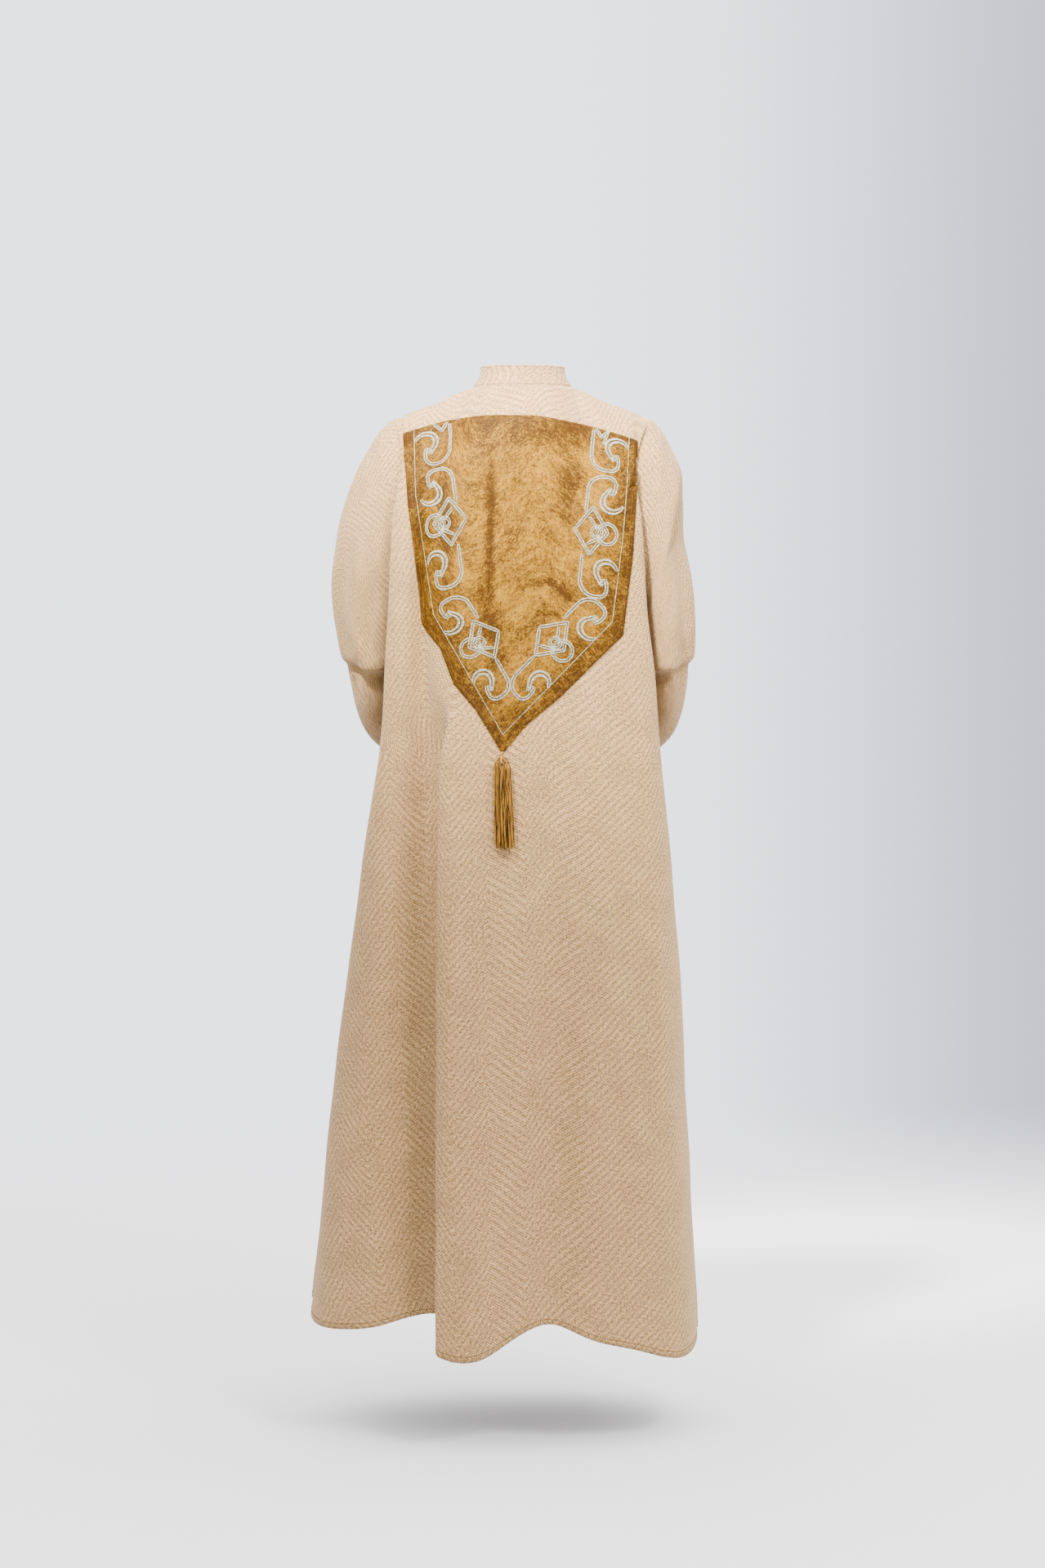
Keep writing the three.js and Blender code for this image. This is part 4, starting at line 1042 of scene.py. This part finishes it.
def scroll(start, end):
    """A long stroke that hooks back into a spur, a short one that curls into the hook, and a knob."""
    height, way = abs(end - start), math.copysign(1, end - start)
    stem = arc((BAND - STEM_RADIUS, height - STEM_RADIUS), 0, 90, STEM_RADIUS)
    hook = arc((24.0, height - HOOK_RADIUS), 90, 185, HOOK_RADIUS)
    spur = [(13.4, height - 19), (16.5, height - 26)]
    curl = arc((16.0, height - 33), 203, 400, CURL_RADIUS, CURL_END)
    curl_tip = [(23.2, height - 19.5), (20.8, height - 15.5)]
    knob = arc((20.5, height - 21.5), 0, 300, 2.4, steps=9)
    strokes = (([(BAND, 0), *stem, *hook, *spur], 0.1), ([*curl, *curl_tip], 0.75), (knob, 0.1))
    return [([(u, start + way * v) for u, v in line], swell) for line, swell in strokes]


def diamond(u, v, half_width=24.0, half_height=33.0):
    """A diamond and a ring that lies half outside it, a small ring where they cross, and two stays."""
    points = [(half_width, 0), (0, half_height), (-half_width, 0), (0, -half_height), (half_width, 0)]
    outline = [(u + a, v + b) for a, b in points]
    stays = [[(u + 4, v - 19), (u - 6, v - 6)], [(u + 5, v + 19), (u - 14, v + 8)]]
    ring = arc((u - 23, v + 2), 0, 360, 14.5, steps=40)
    eye = arc((u - 8, v + 1), 0, 360, 7.5, steps=24)
    return [(line, 0.0) for line in (outline, *stays, ring, eye)]


SIDE_BAND = [
    *scroll(-2, 60),
    *scroll(126, 70),
    *diamond(43, 150),
    *scroll(184, 240),
    ([(50, -5), (41, 8), (30, -5)], 0.0),
]
POINT_BAND = [
    *scroll(46, -5),
    *diamond(45, 80),
    *[([(u * 0.86, v) for u, v in line], swell) for line, swell in scroll(116, 174)],
]
# The thin silver line from behind: its upper end, its corner and its point.
SILVER_LINE = {
    1: [(157, -73), (153, -170), (142, -243), (127, -342), (28, -514)],
    -1: [(-154, -83), (-150, -155), (-143, -236), (-128, -353), (28, -514)],
}
SIDE_LENGTH, POINT_LENGTH = 271.0, 229.0  # lengths that the two bands are drawn for
BAND_REACH, BAND_STEP = 72.0, 2.0  # how far in a band is laid out, and in what steps
SATIN_LIFT = 0.35
ROW_APART = 1.8  # how far each of a stroke's two rows of stitches lies from its middle


class Band:
    """The velvet beside one part of the silver line, by true lengths inwards and down the line."""

    def __init__(self, panel, start, end, sign, drawn_for):
        self.panel = panel
        first = [panel.from_behind(x, z)[:2] for x, z in along([start, end], BAND_STEP)]
        self.heading = (first[-1][0] - first[0][0]).normalized()
        rows = []
        for place, normal in first:
            row = [place]
            for _ in range(int(BAND_REACH / BAND_STEP)):
                ahead = row[-1] + normal.cross(self.heading).normalized() * sign * BAND_STEP
                place, normal, _ = panel.from_behind(ahead.x, ahead.z)
                row.append(place)
            rows.append(row)
        self.places = np.array(rows)
        steps = np.linalg.norm(np.diff(self.places[:, 0], axis=0), axis=1)
        gone = np.r_[0, np.cumsum(steps)]
        self.down = gone / gone[-1] * drawn_for

    def at(self, u, v):
        row = float(np.interp(v, self.down, np.arange(len(self.down))))
        column = min(max(u, 0.0) / BAND_STEP, self.places.shape[1] - 1.001)
        i, j = min(int(row), len(self.places) - 2), int(column)
        near, far = (mix(*pair, column - j) for pair in self.places[i : i + 2, j : j + 2])
        spot = mix(near, far, row - i)
        spot = spot + np.array(self.heading) * (min(v, 0) + max(v - self.down[-1], 0))
        place, normal, _ = self.panel.from_behind(spot[0], spot[2])
        return place, normal


def border(panel, sign):
    """The strokes of one side's border as lines on the velvet."""
    top, corner, tip = (SILVER_LINE[sign][k] for k in (0, -2, -1))
    lines = []
    for start, end, drawn_for, strokes in (
        (top, corner, SIDE_LENGTH, SIDE_BAND),
        (corner, tip, POINT_LENGTH, POINT_BAND),
    ):
        band = Band(panel, start, end, sign, drawn_for)
        for stroke, swell in strokes:
            fine = along(stroke, 1.5)
            last = len(fine) - 1
            line = []
            for k, (u, v) in enumerate(fine):
                place, normal = band.at(u, v)
                broad = 0.62 + 0.30 * min(1, min(k, last - k) / 4)
                broad += swell * math.sin(math.pi * k / last) ** 1.5
                line.append((place + normal * SATIN_LIFT, normal, broad))
            lines += twin_rows(line)
    return lines


def twin_rows(line):
    """Two rows of satin stitch side by side with a thin furrow between them."""
    places, normals, _ = zip(*line)
    side = unit(np.cross(np.array(normals), np.gradient(np.array(places), axis=0))) * ROW_APART
    return [
        [(place + Vector(shift * broad * way), out, broad) for shift, (place, out, broad) in zip(side, line)]
        for way in (1, -1)
    ]


def laid_line(panel, path, lift):
    """A line seen from behind, laid on the velvet."""
    found = [panel.from_behind(x, z) for x, z in along(path, 3.0)]
    return line_on([f[0] for f in found], [f[1] for f in found], lift)


def silver_line(panel, sign):
    return laid_line(panel, SILVER_LINE[sign], 0.3)


def panel_edge_line(panel):
    """The panel's outline moved in to its topstitching."""
    outline = OUTLINE[:-1]
    first = unit(outline - np.roll(outline, 1, axis=0))
    second = unit(np.roll(outline, -1, axis=0) - outline)
    turn = unit(first + second)
    inwards = np.stack([-turn[:, 1], turn[:, 0]], axis=-1)
    stretch = 1 / np.maximum(0.35, np.sum(turn * first, axis=1))
    moved = outline + inwards * (TOPSTITCH_IN * stretch)[:, None]
    return laid_line(panel, [*moved, moved[0]], 0.1)


# ---- tassel
TASSEL_X, TASSEL_LEAN, TASSEL_TOP, TASSEL_END = 29.0, -5.0, -547.0, -677.0
TASSEL_SPREAD, TASSEL_FLATNESS = 14.5, 0.62
STRANDS, STRAND_THICK, GOLDEN_ANGLE = 150, 1.3, 2.399963
# Radius and level of the knot, and how far out its middle stands from the cloth.
KNOT_PROFILE = [
    (0, 9), (1.8, 8.6), (2.6, 6.6), (2.3, 4.4), (2.0, 3.2), (2.6, 2), (4.4, 0), (6.0, -4), (6.6, -9), (0, -9)
]
KNOT_OUT = 7.2


def turned(name, profile, centre, material, sides=28):
    """A closed form turned about a vertical axis."""
    x, y, z = centre
    angles = np.arange(sides) * math.tau / sides
    places = [(x + r * math.cos(a), y + r * math.sin(a), z + up) for r, up in profile[1:-1] for a in angles]
    places = [(x, y, z + profile[0][1]), *places, (x, y, z + profile[-1][1])]
    around = [(k, (k + 1) % sides) for k in range(sides)]
    last = 1 + (len(profile) - 3) * sides
    faces = [(0, 1 + k, 1 + n) for k, n in around]
    for a in range(1, last, sides):
        faces += [(a + k, a + sides + k, a + sides + n, a + n) for k, n in around]
    faces += [(len(places) - 1, last + n, last + k) for k, n in around]
    return shaped(name, places, faces, material)


def tassel_lines(cloth):
    """Threads that leave the knot, flare over its skirt and hang down, a little uneven."""
    pick = np.random.default_rng(17)
    lines = []
    for k in range(STRANDS):
        ring = math.sqrt((k + 0.5) / STRANDS)
        angle = k * GOLDEN_ANGLE + pick.uniform(-0.2, 0.2)
        end = pick.uniform(0.93, 1.0) - 0.03 * ring * pick.uniform(0, 1)
        sway_x, sway_y = pick.normal(0, 0.9, 2)
        line = []
        for share in np.linspace(0, end, 15):
            z = mix(TASSEL_TOP, TASSEL_END, share)
            x = TASSEL_X + TASSEL_LEAN * share
            flare = mix(0.40, 0.84, ease(share / 0.09)) + 0.16 * ease((share - 0.12) / 0.8)
            spread = TASSEL_SPREAD * flare
            wander = ease((share - 0.3) / 0.7)
            dx = spread * ring * math.cos(angle) + sway_x * wander
            dy = spread * ring * TASSEL_FLATNESS * math.sin(angle) + sway_y * 0.5 * wander
            behind = cloth.from_behind(x, z)[0].y
            depth = behind + max(spread * TASSEL_FLATNESS + 1.2 + dy, 0.8)
            line.append(((x + dx, depth, z), (0, 1, 0), 1.0))
        lines.append(line)
    return lines


# ---- putting it together
SIDES = {1: "left", -1: "right"}
# Stitches: spacing, length, width, height and unevenness.
SATIN = (1.05, 1.35, 3.3, 1.7, 0.24)
SILVER_CHAIN = (2.3, 2.7, 1.3, 1.0, 0.1)
TOPSTITCH = (3.4, 2.6, 0.9, 0.7, 0.1)
HEM_STITCH = (3.4, 2.6, 1.5, 0.7, 0.1)
THREAD_LIFT = 0.15


def build():
    cream, velvet = woven_cream(), velvet_bronze()
    silver, gold, brown = (thread(name, *look) for name, look in THREADS.items())
    back = share_seams(back_grid(), 1, np.abs(BACK_COLUMNS) > NECK_SHARE - 1e-6, [0, -1])
    unrolled_back = unrolled(back, int(np.argmin(np.abs(BACK_COLUMNS))))
    dressed = dressed_body(back, BACK_CREASES, 4, 150, -1, front=False)
    pieces = {}

    def cream_cloth(node, grid, run, rise, flip, round_it=False):
        pieces[node] = cloth_piece(node + "_cloth", grid, run, rise, cream, flip, round_it=round_it)

    cream_cloth("back", dressed, *unrolled_back, flip=True)
    worn_lay = Lay(dressed, grid_normals(dressed, -1), *unrolled_back)

    fronts, hems, edges, cuffs = {}, [hem_line(dressed, -1)], [], []
    for sign, name in SIDES.items():
        front = share_seams(front_grid(sign), -1, FRONT_COLUMNS > NECK_SHARE - 1e-6, [-1])
        run, rise = unrolled(front)
        grid = fronts[sign] = dressed_body(front, FRONT_CREASES[sign], 7 + sign, 140, sign, front=True)
        cream_cloth("front_" + name, grid, run * -sign, rise, sign < 0)
        hems.append(hem_line(grid, sign))
        edges.append(edge_line(grid, sign))
        sleeve, down = sleeve_grid(back, front, sign)
        girth = np.cumsum(np.linalg.norm(np.roll(sleeve, -1, axis=1) - sleeve, axis=-1), axis=1)
        girth = np.c_[np.zeros(len(sleeve)), girth[:, :-1]]
        cream_cloth("sleeve_" + name, sleeve, girth * sign, -down, sign < 0, round_it=True)
        cuffs.append(cuff_line(sleeve, sign))
    collar = collar_grid(dressed, fronts[1], fronts[-1])
    cream_cloth("collar", collar, *unrolled(collar), flip=False)
    panel, velvet_lay = velvet_panel(worn_lay, velvet)

    stitches, sewn = stitch_tree(), {}
    silver_lines = [silver_line(velvet_lay, sign) for sign in SIDES]
    for name, lines, material, stitch, seed in (
        *(("embroidery_" + name, border(velvet_lay, sign), silver, SATIN, 3) for sign, name in SIDES.items()),
        ("silver_line", silver_lines, silver, SILVER_CHAIN, 4),
        ("panel_topstitch", [panel_edge_line(velvet_lay)], brown, TOPSTITCH, 5),
        ("hem_topstitch", hems, brown, HEM_STITCH, 6),
        ("front_topstitch", edges, brown, TOPSTITCH, 7),
        ("collar_topstitch", collar_lines(collar), brown, TOPSTITCH, 8),
        ("cuff_topstitch", cuffs, brown, TOPSTITCH, 9),
    ):
        sizes = {key: value * MM for key, value in zip(("Spacing", "Along", "Across", "Height"), stitch)}
        sewn[name] = grown(name, stitches, lines, material, **sizes, Unevenness=stitch[-1], Seed=seed)

    depth = worn_lay.from_behind(TASSEL_X, TASSEL_TOP)[0].y
    knot = turned("tassel_knot", KNOT_PROFILE, (TASSEL_X, depth + KNOT_OUT, TASSEL_TOP), gold)
    strands = tassel_lines(worn_lay)
    hanging = grown("tassel_threads", thread_tree(), strands, gold, Thickness=STRAND_THICK * MM, Sides=4)
    return pieces, panel, sewn, knot, hanging


def hem_line(grid, sign, inset=8.0):
    """A line of stitching a little above the hem."""
    normals = grid_normals(grid, sign)
    row = inset / np.linalg.norm(grid[1] - grid[0], axis=-1).mean()
    low = int(row)
    return line_on(mix(grid[low], grid[low + 1], row - low), normals[low], THREAD_LIFT)


def edge_line(grid, sign, inset=9.0):
    """A line of stitching beside a front's open edge."""
    share = inset / np.linalg.norm(grid[:, 1] - grid[:, 0], axis=-1)
    low = np.clip(share.astype(int), 0, 6)
    rows = np.arange(len(grid))
    places = mix(grid[rows, low], grid[rows, low + 1], (share - low)[:, None])
    return line_on(places, grid_normals(grid, sign)[rows, low], THREAD_LIFT)[2:-1]


def collar_lines(grid):
    normals = grid_normals(grid, 1)
    return [line_on(grid[row], normals[row], THREAD_LIFT) for row in (1, -2)]


def cuff_line(grid, sign):
    line = line_on(grid[-3], grid_normals(grid, sign, True)[-3], THREAD_LIFT)
    return [*line, line[0]]


# ---- floor, room and lamps
FLOOR, FLOOR_REACH = -1511.0, 9000.0  # its level and half its width
FADE, FADE_END = 1.5, 4.6  # metres from the garment between which it fades into the room
# The room's light starts from one colour and blends to others along axes: axis, from, to, colour there.
NEAR_LIGHT = (0.55, 0.55, 0.59)
LIGHT_THERE = (
    (1, -0.15, -0.9, (2.68, 2.72, 3.02)),
    (0, -0.01, -0.19, (0.98, 0.98, 1.19)),
    (1, 0.15, 0.9, (2.0, 2.0, 2.0)),
    (0, -0.3, -0.8, (3.9, 3.8, 3.7)),
    (0, 0.3, 0.8, (1.3, 1.3, 1.32)),
    (2, 0.3, 0.95, (7.6, 7.5, 7.5)),
)
# Lamps: name, place, aim, watts, cone in degrees, size.
LAMPS = (
    ("over_shoulders", (0.9, 2.3, 2.1), (0.02, 0.08, -0.02), 8000.0, 15.0, 0.35),
    ("high_right", (-1.3, 2.1, 1.5), (0.0, 0.1, -0.7), 120.0, None, 0.8),
)


def pale_floor():
    """A floor that fades out with the distance from the garment."""
    r = Recipe("pale_floor")
    place = r.add("ShaderNodeTexCoord", output=3)
    level = r.add("ShaderNodeVectorMath", (place, (1, 1, 0)), operation="MULTIPLY")
    away = r.add("ShaderNodeVectorMath", (level,), 1, operation="LENGTH")
    colour = r.blend(r.noise(place, 2.2, 2.0), (0.485, 0.485, 0.505), (0.51, 0.51, 0.53))
    shown = 1 - away.between(FADE, FADE_END)
    return r.finish(base_color=colour, roughness=0.92, specular_ior_level=0.1, alpha=shown)


def surround():
    """A pale room that is brightest overhead."""
    world = bpy.data.worlds.new("pale_surround")
    world.use_nodes = True
    r = Nodes(world.node_tree)
    way = r.parts(r.add("ShaderNodeTexCoord"))
    colour = NEAR_LIGHT
    for axis, start, end, there in LIGHT_THERE:
        colour = r.blend(way[axis].between(start, end), colour, there)
    background = r.tree.nodes["Background"]
    background.inputs["Strength"].default_value = 1.0
    r.tree.links.new(colour.socket, background.inputs["Color"])
    return world


def light_stage():
    """A plain pale floor in a pale room, a narrow lamp on the shoulders and a soft one high at the right."""
    corners = [(-1, -1), (1, -1), (1, 1), (-1, 1)]
    places = [(x * FLOOR_REACH, y * FLOOR_REACH, FLOOR) for x, y in corners]
    shaped("floor", places, [(0, 1, 2, 3)], pale_floor())
    bpy.context.scene.world = surround()
    for name, place, aim, watts, cone, size in LAMPS:
        data = bpy.data.lights.new(name, "SPOT" if cone else "AREA")
        data.energy, data.color = watts, (1.0, 0.98, 0.95)
        if cone:
            data.spot_size, data.spot_blend, data.shadow_soft_size = math.radians(cone), 1.0, size
        else:
            data.shape, data.size = "DISK", size
        lamp = placed(name, data)
        lamp.location = place
        lamp.rotation_euler = (Vector(aim) - Vector(place)).to_track_quat("-Z", "Y").to_euler()


place_camera()
pieces, panel, sewn, knot, hanging = build()
light_stage()

for node, piece in pieces.items():
    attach(piece, "root")
    parts = [node + "_upper", node + "_lower"] if node.startswith("sleeve") else [node]
    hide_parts(*parts)
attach(panel, "root")
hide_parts("back_panel")
for name, piece in sewn.items():
    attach(piece, "root")
for piece in (knot, hanging):
    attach(piece, "root")
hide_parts("tassel")

for name in ("left", "right"):
    pieces["front_" + name]
    pieces["sleeve_" + name]
    "front_" + name
